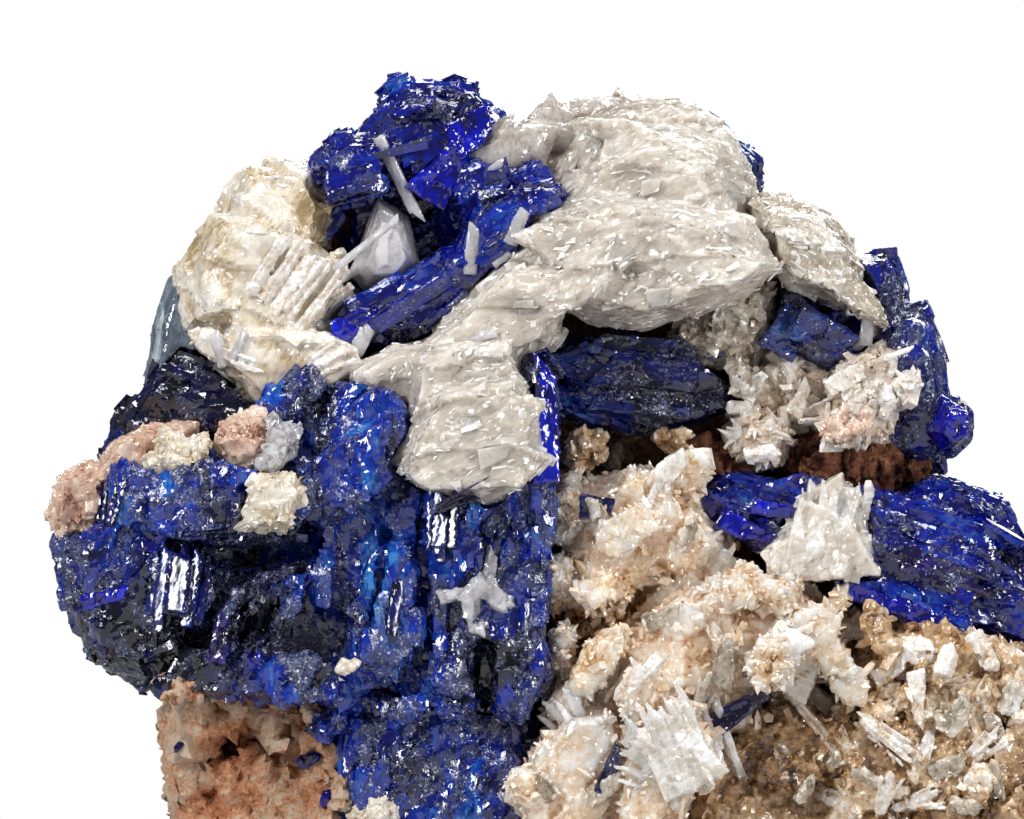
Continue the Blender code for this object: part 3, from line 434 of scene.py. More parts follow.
# %% Rock finish
def rock_finish(name, stops):
    finish, tree, shader = new_finish(name)
    place = in_millimetres(tree, warp=0.6)
    slow = add(
        tree, "ShaderNodeTexNoise", {"Vector": place, "Scale": 0.35, "Detail": 5.0, "Roughness": 0.75}
    ).outputs["Fac"]
    fine = add(
        tree, "ShaderNodeTexNoise", {"Vector": place, "Scale": 6.0, "Detail": 4.0, "Roughness": 0.85}
    ).outputs["Fac"]
    grain = cell_chance(tree, place, 0.17)[1]
    tone, shade = carried(tree, "tone", "shade")
    # Low tone darkens the pits as painted shade.
    level = weighted(tree, [(slow, 1.0), (fine, 1.5), (grain, 0.34), (tone, 0.6), (shade, 1.0)], -0.98)
    body = add(tree, "ShaderNodeValToRGB", {"Fac": level}, stops=stops)
    pitted = add(tree, "ShaderNodeBump", {"Height": fine, "Distance": 0.3 * MM, "Strength": 1.0})
    tree.links.new(body.outputs[0], shader.inputs["Base Color"])
    tree.links.new(pitted.outputs[0], shader.inputs["Normal"])
    shader.inputs["Roughness"].default_value = 0.85
    return finish


ROCK_STOPS = [
    (0.00, "#34170d"), (0.16, "#86482c"), (0.36, "#cc8052"), (0.58, "#eca276"), (0.80, "#f6c298"),
    (1.00, "#fbe0c6"),
]
RUST_STOPS = [
    (0.00, "#140805"), (0.35, "#3c1a11"), (0.65, "#6e3824"), (1.00, "#a8704e"),
]

# %% The finishes
FINISHES = {
    "linarite_upright": linarite_finish("linarite_upright_grain", BLUE_STOPS),
    "linarite_sloping": linarite_finish("linarite_sloping_grain", ROYAL_STOPS, grain=60, dusty=0.1),
    "linarite_royal": linarite_finish("linarite_royal_blue", ROYAL_STOPS, grain=8, dusty=0.6, grit=0.11),
    "linarite_fan": linarite_finish("linarite_falling_grain", ROYAL_STOPS, grain=110, dusty=0.1),
    "navy_level": linarite_finish("navy_linarite_level_grain", NAVY_STOPS, grain=95, dusty=0.15),
    "slate": linarite_finish("slate_linarite", SLATE_STOPS, grain=15, dusty=0.2, lean=0.3),
    "gleaming": linarite_finish(
        "gleaming_linarite", NAVY_STOPS, grain=8, dusty=-0.6, lean=0.04, rough=(0.2, 0.4), ridge=0.012
    ),
    "violet": linarite_finish("violet_linarite", VIOLET_STOPS, grain=60, dusty=0.0, lean=0.2),
    "violet_dusty": linarite_finish("powdered_violet_linarite", VIOLET_STOPS, grain=35, dusty=0.7, lean=0.3),
    "deep_blue": linarite_finish("clean_linarite_faces", DEEP_STOPS, dusty=-0.6, patch=1.2, lean=0.12),
    "white": pale_finish(
        "white_layered_crystal", WHITE_STOPS, inside=1.2, cell=0.24, grain=60, squeeze=0.35, lean=0.9,
        rough=(0.2, 0.4), stain_and_recess_shade=0.2,
    ),
    "cream": pale_finish("cream_druse", CREAM_STOPS, inside=2.0, stain_and_recess_shade=0.3, lean=0.6),
    "cream_grains": pale_finish("cream_grains", CREAM_STOPS, rough=(0.1, 0.3), stain_and_recess_shade=0.35, lean=0.5),
    "frost": pale_finish("frosty_druse", FROST_STOPS, rough=(0.08, 0.3), stain_and_recess_shade=0.4, lean=0.8),
    "ivory": pale_finish("ivory_crystal", IVORY_STOPS, grain=30, squeeze=0.4, lean=0.5, stain_and_recess_shade=0.35),
    "taupe": pale_finish("taupe_druse", TAUPE_STOPS),
    "pink": pale_finish("peach_druse", PINK_STOPS, stain_and_recess_shade=0.4),
    "honey": pale_finish("translucent_beige_crystal", HONEY_STOPS, clear=0.15, rough=(0.04, 0.2), lean=0.7),
    # The flakes are whitened as painted glints.
    "painted_glint_flake": pale_finish("painted_glint_flakes", FLAKE_PAINTED_GLINT_STOPS, rough=(0.06, 0.2), lean=0.2, stain_and_recess_shade=0.1),
    "smoke": pale_finish(
        "smoky_crystal", SMOKE_STOPS, inside=1.4, clear=0.3, rough=(0.1, 0.25), lean=0.25, stain_and_recess_shade=0.2
    ),
    "milky": pale_finish("milky_crystal", MILKY_STOPS, inside=1.4, clear=0.2, rough=(0.06, 0.2), lean=0.15),
    "glass": pale_finish(
        "colourless_crystal", MILKY_STOPS, inside=1.4, clear=0.2, rough=(0.06, 0.2), lean=0.3
    ),
    "rock": rock_finish("pinkish_host_rock", ROCK_STOPS),
    "rust": rock_finish("iron_rust", RUST_STOPS),
}
print("finishes:", list(FINISHES))

# %% [markdown]
# ## Skins
#
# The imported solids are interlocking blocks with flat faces, a few tenths of a millimetre apart. A skin is a
# copy of such a solid, merged, swollen by about half of that gap and remeshed to small even quads, whose
# points are then moved to give the surface its relief.

# %% Reading values and showing pieces
def read(items, what, width, kind=np.float32):
    """A value of every vertex or face, as an array with this many columns."""
    flat = np.empty(len(items) * width, kind)
    items.foreach_get(what, flat)
    return flat.reshape(-1, width)


def write_values(mesh, name, values):
    """One number for every point, which finishes read as an attribute."""
    mesh.attributes.new(name, "FLOAT", "POINT").data.foreach_set("value", values.astype(np.float32))


DRESS = {}


def show(name, mesh, finish, slot):
    """A piece with this mesh and finish, on the specimen's only body. Its material slot is only noted beside
    the finish.
    """
    DRESS[name] = (finish, slot)
    piece = bpy.data.objects.new(name, mesh)
    bpy.context.scene.collection.objects.link(piece)
    mesh.materials.clear()
    mesh.materials.append(FINISHES[finish])
    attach(piece, "root")
    return piece


# %% Skin
MERGE = 0.001
SWELL = 0.16


def fuse(piece, voxel):
    """Remeshes a piece to even quads about a voxel wide, in mm. Parts that touch become one."""
    remesh = piece.modifiers.new("even_quads", "REMESH")
    remesh.mode = "VOXEL"
    remesh.voxel_size = voxel * MM
    graph = bpy.context.evaluated_depsgraph_get()
    made = bpy.data.meshes.new_from_object(piece.evaluated_get(graph))
    made.name = piece.name
    piece.modifiers.clear()
    piece.data = made
    made.materials.clear()
    made.materials.append(FINISHES[DRESS[piece.name][0]])
    return piece


def skin(name, node, finish, slot, voxel):
    """A node's solid as one skin of quads about a voxel wide, in mm, that stands for it."""
    shape = bmesh.new()
    shape.from_mesh(frame["nodes"][node].data)
    bmesh.ops.remove_doubles(shape, verts=shape.verts, dist=MERGE * MM)
    shape.normal_update()
    for vert in shape.verts:
        vert.co += vert.normal * SWELL * MM
    mesh = bpy.data.meshes.new(name)
    shape.to_mesh(mesh)
    shape.free()
    piece = show(name, mesh, finish, slot)
    fuse(piece, voxel)
    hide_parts(node)
    return piece


# %% [markdown]
# ### Relief
#
# Four kinds of relief are laid over each other, from coarse to fine. Facets give every Voronoi cell one
# random slope, so the skin breaks into flat faces with little cliffs between them; squeezing the pattern
# along the grain draws them out into blades. Domes are rounded lumps with creases between them. Ledges are
# the steps of a layered crystal. Crumple is plain fractal roughness. Strokes come first: each presses a
# furrow into the front, or raises a ridge from it, along a line in the picture's plane.

# %% Kinds of relief
HALF = Vector((0.5, 0.5, 0.5))
BEND = 0.35
CELL_SEED = 7.7
CRUMPLE = (0.6, 2.2, 4)  # how fast finer waves fade, how much finer each is, how many there are


def placed(point, squeeze, size, shift):
    """A point in cells of this size, bent by a slow noise."""
    bent = Vector(point)
    bent += noise.noise_vector(bent * 0.8 / size) * BEND * size
    return squeeze @ bent / size + shift


def facets(place):
    """A flat face of its own slope and height in every cell."""
    nearest = noise.voronoi(place)[1][0]
    tilt = noise.cell_vector(nearest * CELL_SEED) - HALF
    return (place - nearest).dot(tilt) * 2 + tilt[0]


def domes(place):
    return 0.5 - min(noise.voronoi(place)[0][0], 0.9) ** 1.5 * 1.4


def ledges(place):
    level = place.z + 0.9 * noise.noise(place * 0.35)
    return 0.5 - (level - math.floor(level))


def crumple(place):
    return noise.fractal(place, *CRUMPLE)


def furrow(points, normals, strokes):
    """Presses strokes into the front. Each has two ends (x, z), a half width and a depth, all in mm.
    Points that face the viewer move fully, those that face sideways a third, and the back not at all."""
    fronts = np.clip(0.35 - normals[:, 1] * 1.5, 0, 1)
    for left, low, right, high, half_width, depth in strokes:
        start = np.array((left, low))
        run = np.array((right - left, high - low))
        reach = points[:, (0, 2)] - start
        share = np.clip(reach @ run / max(run @ run, 1e-6), 0, 1)
        away = np.linalg.norm(reach - share[:, None] * run, axis=1) / half_width
        points[:, 1] += depth * np.clip(1 - away**4, 0, 1) * fronts


def relieve(piece, layers, along=(0.0, 0.0, 1.0), stretch=2.5, seed=0, strokes=(), sharp=28):
    """Gives a skin its relief. Each layer is a kind, a size and a depth, in mm."""
    mesh = piece.data
    points = read(mesh.vertices, "co", 3) / MM
    furrow(points, read(mesh.vertices, "normal", 3), strokes)
    mesh.vertices.foreach_set("co", (points * MM).ravel())
    mesh.update()
    normals = read(mesh.vertices, "normal", 3)
    axis = Vector(along).normalized()
    squeeze = Matrix.Identity(3) - Matrix([[a * b for b in axis] for a in axis]) * (1 - 1 / stretch)
    shift = Vector((seed * 17.3, seed * 5.1, seed * 11.9))
    lift = np.zeros(len(points))
    for kind, size, depth in layers:
        lift += depth * np.array([kind(placed(point, squeeze, size, shift)) for point in points])
    points += normals * lift[:, None]
    points[:, 2] = np.maximum(points[:, 2], 0.0)
    mesh.vertices.foreach_set("co", (points * MM).ravel())
    mesh.update()
    mesh.set_sharp_from_angle(angle=math.radians(sharp))
    # Tone is low where the relief sinks. The finishes darken low tone: painted shade in the recesses, and on
    # the druse also its own brown stain.
    write_values(mesh, "tone", np.clip(0.5 + 0.25 * (lift - lift.mean()) / max(lift.std(), 1e-6), 0, 1))
    print(piece.name, "faces:", len(mesh.polygons), "relief in mm:", round(float(lift.std()), 2))


# %% Shade and dust
FRONT_PART = 4.0  # only what lies in front of this depth is tinted


def tint(piece, spots):
    """Darkens, lightens or dusts regions in front. A spot is a place (x, z), a radius, a shade and a dust."""
    mesh = piece.data
    points = read(mesh.vertices, "co", 3) / MM
    shade = np.zeros(len(points))
    dust = np.zeros(len(points))
    for across, up, radius, lighter, dustier in spots:
        near = np.exp(-(((points[:, 0] - across) ** 2 + (points[:, 2] - up) ** 2) / radius**2) ** 2)
        near *= points[:, 1] < FRONT_PART
        shade += near * lighter
        dust += near * dustier
    write_values(mesh, "shade", shade)
    write_values(mesh, "dust", dust)


# %% [markdown]
# ## Small crystals
#
# No skin is fine enough for the crystals themselves. There are tens of thousands of them, so a handful of
# low-poly ones are modelled and copied: each copy is turned, stretched and set down by arrays, and all
# copies of one kind of growth are joined in one mesh. They stand only where the skin is open to the air,
# which a ray from the skin towards the neighbouring minerals tells.

# %% One small crystal of each kind
ROD_TAPER = 0.9


def as_template(shape):
    """The points and triangles of a bmesh, which is freed. An extrusion leaves its faces in no fixed order,
    so they are sorted."""
    bmesh.ops.triangulate(shape, faces=shape.faces)
    shape.verts.index_update()
    points = np.array([vert.co for vert in shape.verts])
    corners = np.array(sorted([vert.index for vert in face.verts] for face in shape.faces))
    shape.free()
    return points, corners


def prism(sides, tip, slant, taper=1.0):
    """A prism on z = 0 that ends in a slanted point at z = 1. tip is the height of the end part."""
    shape = bmesh.new()
    bmesh.ops.create_cone(
        shape, cap_ends=True, segments=sides, radius1=0.5, radius2=0.5 * taper, depth=1 - tip
    )
    bmesh.ops.translate(shape, verts=shape.verts, vec=(0, 0, (1 - tip) / 2))
    top = max(shape.faces, key=lambda face: face.calc_center_median().z)
    made = bmesh.ops.extrude_face_region(shape, geom=[top])
    bmesh.ops.delete(shape, geom=[top], context="FACES_ONLY")
    raised = [item for item in made["geom"] if isinstance(item, bmesh.types.BMVert)]
    bmesh.ops.translate(shape, verts=raised, vec=(slant, 0, tip))
    bmesh.ops.pointmerge(shape, verts=raised, merge_co=(slant, 0, 1))
    return as_template(shape)


def rod(sides, slope):
    """A rod on z = 0, 1 long, with a flat end that slopes across by this much."""
    shape = bmesh.new()
    bmesh.ops.create_cone(
        shape, cap_ends=True, segments=sides, radius1=0.5, radius2=0.5 * ROD_TAPER, depth=1
    )
    bmesh.ops.translate(shape, verts=shape.verts, vec=(0, 0, 0.5))
    for vert in shape.verts:
        if vert.co.z > 0.5:
            vert.co.z += vert.co.x * slope
    return as_template(shape)


def slab(end, slant):
    """A flat blade on z = 0, 1 long, with an end narrowed to this share and shifted sideways."""
    shape = bmesh.new()
    bmesh.ops.create_cube(shape, size=1)
    bmesh.ops.translate(shape, verts=shape.verts, vec=(0, 0, 0.5))
    top = [vert for vert in shape.verts if vert.co.z > 0.5]
    bmesh.ops.scale(shape, verts=top, vec=(end, 0.55, 1))
    bmesh.ops.translate(shape, verts=top, vec=(slant, 0, 0))
    left = [vert for vert in top if vert.co.x < slant]
    bmesh.ops.translate(shape, verts=left, vec=(0, 0, -0.2))
    return as_template(shape)


def chip(seed):
    """An irregular chip, about 1 across. It is centred, where the other kinds stand on z = 0."""
    chance = np.random.default_rng(seed)
    shape = bmesh.new()
    bmesh.ops.create_icosphere(shape, subdivisions=1, radius=0.5)
    for vert in shape.verts:
        vert.co *= chance.uniform(0.7, 1.15)
    return as_template(shape)


def plate(seed, sides=6):
    """A plate that faces +Y, with an uneven outline and a bevelled rim, about 1 long, wide and thick."""
    chance = np.random.default_rng(seed)
    shape = bmesh.new()
    bmesh.ops.create_cone(shape, cap_ends=True, segments=sides, radius1=0.55, radius2=0.42, depth=1)
    for vert in shape.verts:
        vert.co.x *= chance.uniform(0.75, 1.2)
        vert.co.y *= chance.uniform(0.75, 1.2)
    bmesh.ops.rotate(shape, verts=shape.verts, matrix=Matrix.Rotation(math.radians(-90), 3, "X"))
    bmesh.ops.translate(shape, verts=shape.verts, vec=(0, 0, 0.5))
    return as_template(shape)


POINTS = [prism(6, 0.35, 0.1), prism(5, 0.25, -0.2), prism(4, 0.4, 0.15), prism(6, 0.2, 0.25, 0.85)]
RODS = [rod(6, 0.25), rod(5, -0.15), rod(4, 0.1)]
BLADES = [slab(0.7, 0.1), slab(0.45, -0.15), slab(0.85, 0.0), slab(0.6, 0.2)]
CHIPS = [chip(seed) for seed in range(5)]
PLATES = [plate(seed, sides) for seed, sides in enumerate((5, 6, 6, 7, 5))]
print("triangles in a point, a blade and a chip:", len(POINTS[0][1]), len(BLADES[0][1]), len(CHIPS[0][1]))

# %% Open places on a skin
# Each ray starts a little inside the skin, and a solid within the room in front of the skin stops it.
START_INSIDE = 0.5
ROOM = 1.3


def other_solids(node):
    """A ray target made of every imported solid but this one."""
    shape = bmesh.new()
    for name, solid in frame["nodes"].items():
        if name != node:
            shape.from_mesh(solid.data)
    tree = BVHTree.FromBMesh(shape)
    shape.free()
    return tree


def open_places(piece, node, count, chance):
    """Random places on a skin, by area: their middles, normals, tones, and whether no neighbour is near."""
    mesh = piece.data
    centres = read(mesh.polygons, "center", 3) / MM
    normals = read(mesh.polygons, "normal", 3)
    share = read(mesh.polygons, "area", 1)[:, 0].astype(float)
    corners = read(mesh.loops, "vertex_index", 1, np.int32)[:, 0]
    firsts = read(mesh.polygons, "loop_start", 1, np.int32)[:, 0]
    tones = read(mesh.attributes["tone"].data, "value", 1)[corners[firsts], 0]
    picked = chance.choice(len(share), size=count, p=share / share.sum())
    around = other_solids(node)
    free = np.ones(count, bool)
    for k, face in enumerate(picked):
        start = Vector(centres[face] - START_INSIDE * normals[face]) * MM
        hit = around.ray_cast(start, Vector(normals[face]), (ROOM + START_INSIDE) * MM)[0]
        free[k] = hit is None
    return centres[picked], normals[picked], tones[picked], free


# %% Planting
LAID_FLAT = 0.9
SKEW = 1.6


def unit(vectors):
    return vectors / np.maximum(np.linalg.norm(vectors, axis=1, keepdims=True), 1e-9)


def turns(aim, facing):
    """Rotations that bring Z on to aim, and Y as near as can be to facing."""
    side = unit(facing - (facing * aim).sum(1, keepdims=True) * aim)
    return np.stack((np.cross(side, aim), side, aim), axis=2)


def joined(name, kinds, at, turn, size, tone, finish, slot):
    """One piece out of many copies of small crystals. The kinds take turns."""
    points, corners, tones = [], [], []
    start = 0
    for k, (form, faces) in enumerate(kinds):
        mine = slice(k, None, len(kinds))
        copies = np.einsum("nij,nkj->nki", turn[mine], form[None] * size[mine, None]) + at[mine, None]
        firsts = start + len(form) * np.arange(len(copies))
        points.append(copies.reshape(-1, 3))
        corners.append((faces[None] + firsts[:, None, None]).reshape(-1, 3))
        tones.append(np.repeat(tone[mine], len(form)))
        start += len(copies) * len(form)
    mesh = bpy.data.meshes.new(name)
    mesh.from_pydata(np.concatenate(points) * MM, [], np.concatenate(corners))
    write_values(mesh, "tone", np.concatenate(tones))
    print(name, "crystals:", len(at), "triangles:", len(mesh.polygons))
    return show(name, mesh, finish, slot)


def spread(chance, count, low, high):
    """Sizes between low and high, more of them small."""
    return low * (high / low) ** (chance.uniform(size=count) ** SKEW)


def hugging(base, ends, limit):
    """Which crystals keep both ends within this distance outside the skin, in mm."""
    shape = bmesh.new()
    shape.from_mesh(base.data)
    tree = BVHTree.FromBMesh(shape)
    shape.free()
    kept = np.ones(len(ends[0]), bool)
    for tips in ends:
        for k, tip in enumerate(tips):
            spot, normal, _, _ = tree.find_nearest(Vector(tip) * MM)
            kept[k] &= (Vector(tip) * MM - spot).dot(normal) < limit * MM
    return kept


def grow(
    base, node, part, count, kinds, length, width, thick,
    along=None, lift=0.3, wander=0.3, seed=0, sink=0.35, varied=0.25, paler=0.0, hug=0.5, finish=None,
):
    """Small crystals on a skin. They stand on it, or lie along the grain if there is one, raised by lift.
    They wander from that way, sink in by a share of their length, and vary in tone. Each size is a range."""
    chance = np.random.default_rng(seed)
    at, out, tone, kept = open_places(base, node, count, chance)
    if along is None:
        way = out.copy()
    else:
        grain = unit(np.asarray(along(at) if callable(along) else np.tile(along, (count, 1)), float))
        grain *= chance.choice((-1.0, 1.0), size=(count, 1))
        way = grain - (grain * out).sum(1, keepdims=True) * out * LAID_FLAT + out * lift
    aim = unit(unit(way) + chance.normal(size=(count, 3)) * wander)
    facing = unit(out + chance.normal(size=(count, 3)) * wander)
    size = np.column_stack([spread(chance, count, *span) for span in (width, thick, length)])
    root = at - aim * size[:, 2:] * sink
    tone = np.clip(tone + paler + chance.normal(size=count) * varied, 0, 1)
    if along is not None:
        kept &= hugging(base, (root, root + aim * size[:, 2:]), hug)
    root, aim, facing, size, tone = (values[kept] for values in (root, aim, facing, size, tone))
    own_finish, slot = DRESS[base.name]
    return joined(f"{node}_{part}", kinds, root, turns(aim, facing), size, tone, finish or own_finish, slot)

# %% [markdown]
# ## Dressing a mass
#
# A mass is a skin with its relief, and one or more growths of small crystals on it. A growth is a row: its
# name, how many crystals are tried, their kinds, their ranges of length, width and thickness, and its habit.

# %% A dressed mass
def dress_mass(node, finish, slot, layers, growths, seed, voxel=0.17, spots=(), **relief):
    """A node's skin with its relief, and the growths on it, all tinted alike."""
    base = skin(node + "_skin", node, finish, slot, voxel)
    relieve(base, layers, seed=seed, **relief)
    pieces = [base]
    for k, (part, count, kinds, length, width, thick, habit) in enumerate(growths):
        grown = grow(base, node, part, count, kinds, length, width, thick, seed=seed + 100 * k, **habit)
        pieces.append(grown)
    for piece in pieces:
        tint(piece, spots)


# %% [markdown]
# ## Linarite
#
# Each mass is a finely faceted skin with blades lying in it, large and small, that hug it and follow one
# grain. A grain is a direction in the picture's plane, given as an angle from upright.

# %% Linarite mass
def heading(degrees):
    """A direction in the plane of the picture, as an angle from upright towards the right."""
    angle = math.radians(degrees)
    return (math.sin(angle), 0.0, math.cos(angle))


def linarite_mass(
    node, finish, slot, angle, large, small, seed, depth=0.3, stretch=2.2, grain=None, **others
):
    lying = {"along": grain or heading(angle), "lift": 0.0, "sink": 0.5}
    layers = [(facets, 3.4, depth * 1.5), (facets, 1.3, depth * 0.8), (facets, 0.5, depth * 0.35)]
    large_habit = {**lying, "wander": 0.1, "hug": 0.2}
    small_habit = {**lying, "wander": 0.15, "hug": 0.09}
    growths = [
        ("blades", large, BLADES, (1.4, 4.2), (0.6, 1.8), (0.25, 0.6), large_habit),
        ("slivers", small, BLADES, (0.4, 1.4), (0.15, 0.6), (0.12, 0.35), small_habit),
    ]
    dress_mass(
        node, finish, slot, layers, growths, seed, along=heading(angle), stretch=stretch, **others
    )


# %% Linarite left
def left_grain(at):
    """Upright in the column, and leaning more and more to the left of it."""
    lean = np.clip((-6.0 - at[:, 0]) / 14.0, 0.0, 1.0) * 1.1
    return np.column_stack((np.sin(lean), np.zeros(len(at)), np.cos(lean)))


# Two spots are painted shade in hollows: under the lip at (-15.6, 17.2) and the deep hollow at (-14.4, 14.4).
LEFT_SPOTS = [
    (-15.6, 17.2, 3.4, -0.38, 0.5),
    (-18.6, 20.6, 2.6, 0.12, 0.1),
    (-9.2, 17.0, 2.6, 0.22, -0.4),
    (-11.5, 20.5, 2.4, 0.08, -0.1),
    (-12.6, 17.6, 1.8, 0.1, 0.2),
    (-14.4, 14.4, 1.4, -0.4, -0.2),
    (-6.8, 11.6, 2.4, 0.1, 0.3),
    (-4.0, 17.4, 1.6, 0.2, -0.5),
    (-12.2, 13.0, 2.0, -0.3, 0.7),
    (-20.2, 13.2, 3.2, -0.5, 0.0),
    (-16.8, 12.0, 2.2, -0.5, 0.1),
    (-7.4, 14.0, 2.2, 0.05, 0.3),
    (-2.4, 12.0, 1.4, -0.5, -0.4),
    (-3.6, 19.6, 2.0, 0.12, 0.0),
    (-8.6, 22.6, 1.8, 0.15, -0.2),
]
LEFT_STROKES = [
    (-18.0, 17.7, -14.4, 17.5, 1.1, 1.8),
    (-14.4, 17.5, -11.6, 18.5, 0.9, 1.4),
    (-14.3, 13.4, -13.6, 15.0, 0.65, 2.2),
    (-16.2, 12.6, -15.4, 14.8, 0.55, -1.1),
    (-15.4, 14.8, -14.0, 16.0, 0.5, -1.1),
    (-14.0, 16.0, -12.2, 16.5, 0.45, -1.0),
    (-8.4, 14.0, -7.6, 18.6, 0.35, 0.9),
    (-6.2, 15.0, -6.0, 19.4, 0.3, 0.9),
    (-2.6, 10.4, -2.9, 12.6, 0.7, 1.8),
]
linarite_mass(
    "linarite_left", "linarite_upright", "linarite", 20, 200, 2000, 1,
    grain=left_grain, spots=LEFT_SPOTS, strokes=LEFT_STROKES,
)

# %% The other linarite masses
linarite_mass("linarite_top", "linarite_sloping", "linarite", 60, 130, 1200, 2, depth=0.26, stretch=3)
linarite_mass("linarite_right", "linarite_royal", "linarite", 8, 40, 160, 3, depth=0.1)
linarite_mass("linarite_fan", "linarite_fan", "linarite", 112, 150, 1000, 4, depth=0.24, stretch=5)
linarite_mass("linarite_back", "linarite_fan", "linarite", 100, 60, 900, 5, voxel=0.22)
DARKER = [(-18.0, 24.5, 7.0, -0.2, -0.5)]
PALER = [(-18.5, 29.0, 9.0, 0.25, 0.0)]
linarite_mass(
    "linarite_shoulder", "navy_level", "dark_linarite", 92, 50, 300, 6, stretch=5, spots=DARKER
)
linarite_mass(
    "linarite_side_blade", "slate", "dark_linarite", 14, 8, 30, 7, depth=0.12, stretch=8, spots=PALER
)
linarite_mass("linarite_pocket", "navy_level", "dark_linarite", 95, 50, 300, 8, depth=0.22, stretch=6)
linarite_mass("linarite_vein", "linarite_upright", "dark_linarite", 30, 40, 600, 9)
linarite_mass("linarite_crest", "navy_level", "dark_linarite", 130, 6, 80, 10)

# %% [markdown]
# ## White crystals
#
# The white mineral is layered and flaky: ledges and overlapping plates, with felted chips between.

# %% White mass
def white_mass(node, finish, angle, large, small, chips, seed, depth=0.3, spots=()):
    lying = {"along": heading(angle), "hug": 0.2}
    large_habit = {**lying, "lift": 0.0, "wander": 0.2, "sink": 0.5, "varied": 0.1}
    small_habit = {**lying, "lift": 0.05, "wander": 0.35, "sink": 0.45, "varied": 0.15, "hug": 0.18}
    layers = [
        (crumple, 5.0, depth * 1.2),
        (ledges, 2.2, depth * 0.7),
        (facets, 1.6, depth * 0.4),
        (facets, 0.5, depth * 0.2),
    ]
    growths = [
        ("plates", large, BLADES, (0.9, 2.6), (0.4, 1.1), (0.2, 0.5), large_habit),
        # Real flakes, whose whiter finish is painted glints.
        (
            "flakes", small, BLADES + PLATES, (0.3, 1.1), (0.08, 0.45), (0.06, 0.18),
            {**small_habit, "finish": "painted_glint_flake"},
        ),
        (
            "chips", chips, CHIPS, (0.12, 0.4), (0.1, 0.3), (0.1, 0.3),
            {"wander": 0.8, "sink": 0.45, "varied": 0.2},
        ),
    ]
    dress_mass(
        node, finish, "pale_crystal", layers, growths, seed, along=heading(angle), stretch=1.8, spots=spots
    )


CROWN_SPOTS = [
    (-1.5, 37.4, 2.6, -0.45, 0.0),
    (3.6, 40.4, 1.6, -0.3, 0.0),
    (5.6, 30.8, 2.4, -0.12, 0.0),
    (9.0, 34.0, 3.0, 0.08, 0.0),
]
LEFT_PALE_SPOTS = [
    (-11.2, 34.4, 1.2, -0.4, 0.0),
    (-16.8, 33.2, 1.4, -0.2, 0.0),
    (-12.3, 26.4, 1.8, -0.25, 0.0),
]
WEDGE_SPOTS = [(13.6, 17.6, 4.0, 0.3, 0.0)]
white_mass("white_crystal_crown", "white", 75, 80, 1700, 900, 21, spots=CROWN_SPOTS)
white_mass("white_crystal_right", "honey", 125, 30, 500, 300, 22, depth=0.36)
white_mass("white_crystal_left", "ivory", 140, 40, 260, 1800, 23, spots=LEFT_PALE_SPOTS)
white_mass("white_crystal_wedge", "white", 60, 6, 100, 60, 24, depth=0.1, spots=WEDGE_SPOTS)

# %% [markdown]
# ## Druse
#
# A druse is a crust of small crystals that all grow outwards from one surface, like sugar on a lumpy skin. A
# few of them are larger and stand out as points.

# %% Druse mass
def druse_mass(
    node, finish, slot, points, tips, sugar, seed, depth=0.5, reach=1.0, grains=None, voxel=0.19, **others
):
    """Druse. reach scales its points' length, and grains is their finish where they have one of their own."""
    layers = [(facets, 2.6, depth * 0.8), (domes, 1.1, depth * 0.5), (facets, 0.45, depth * 0.25)]
    spread_out = {"wander": 0.5, "varied": 0.12, "finish": grains}
    growths = [
        (
            "points", points, POINTS + RODS, (1.0 * reach, 2.2 * reach), (0.4, 0.9), (0.4, 0.9),
            {**spread_out, "sink": 0.6, "paler": 0.15},
        ),
        (
            "tips", tips, POINTS + BLADES, (0.5 * reach, 1.2 * reach), (0.25, 0.6), (0.2, 0.45),
            {**spread_out, "sink": 0.55, "paler": 0.1},
        ),
        (
            "sugar", sugar, CHIPS, (0.12, 0.4), (0.12, 0.36), (0.12, 0.36),
            {"wander": 0.8, "sink": 0.4, "varied": 0.15, "finish": grains},
        ),
    ]
    dress_mass(node, finish, slot, layers, growths, seed, voxel=voxel, stretch=1.0, **others)


FRONT_STROKES = [
    (1.0, 12.6, 3.4, 14.6, 0.8, 1.6),
    (3.4, 14.6, 6.2, 16.6, 0.6, 1.1),
]
# The two darkest spots lie along the furrows and brown them: partly the druse's own stain, partly painted
# shade.
FRONT_SPOTS = [
    (1.8, 13.2, 1.6, -0.45, 0.0),
    (4.4, 15.4, 1.5, -0.28, 0.0),
    (0.6, 15.6, 1.4, -0.2, 0.0),
    (5.0, 19.5, 2.5, 0.1, 0.0),
    (2.0, 9.0, 2.4, 0.12, 0.0),
]
druse_mass(
    "druse_front", "cream", "druse", 110, 1700, 3200, 41,
    depth=0.4, spots=FRONT_SPOTS, strokes=FRONT_STROKES, grains="cream_grains",
)
SIDE_SPOTS = [
    (12.5, 6.6, 2.4, -0.2, 0.0),
    (16.0, 9.8, 1.6, -0.2, 0.0),
    (21.6, 8.0, 2.6, 0.15, 0.0),
]
druse_mass("druse_side", "taupe", "druse", 150, 1800, 3200, 42, spots=SIDE_SPOTS)
druse_mass("druse_pocket", "frost", "druse", 170, 800, 500, 43, depth=0.4, reach=1.15, voxel=0.16)
druse_mass("druse_back_left", "cream", "druse", 50, 400, 900, 44, voxel=0.24, grains="cream_grains")
druse_mass("druse_back_right", "taupe", "druse", 50, 400, 900, 45, voxel=0.24)
druse_mass("pink_crust", "pink", "pink_crystal", 6, 260, 1300, 46, depth=0.3, reach=0.5)

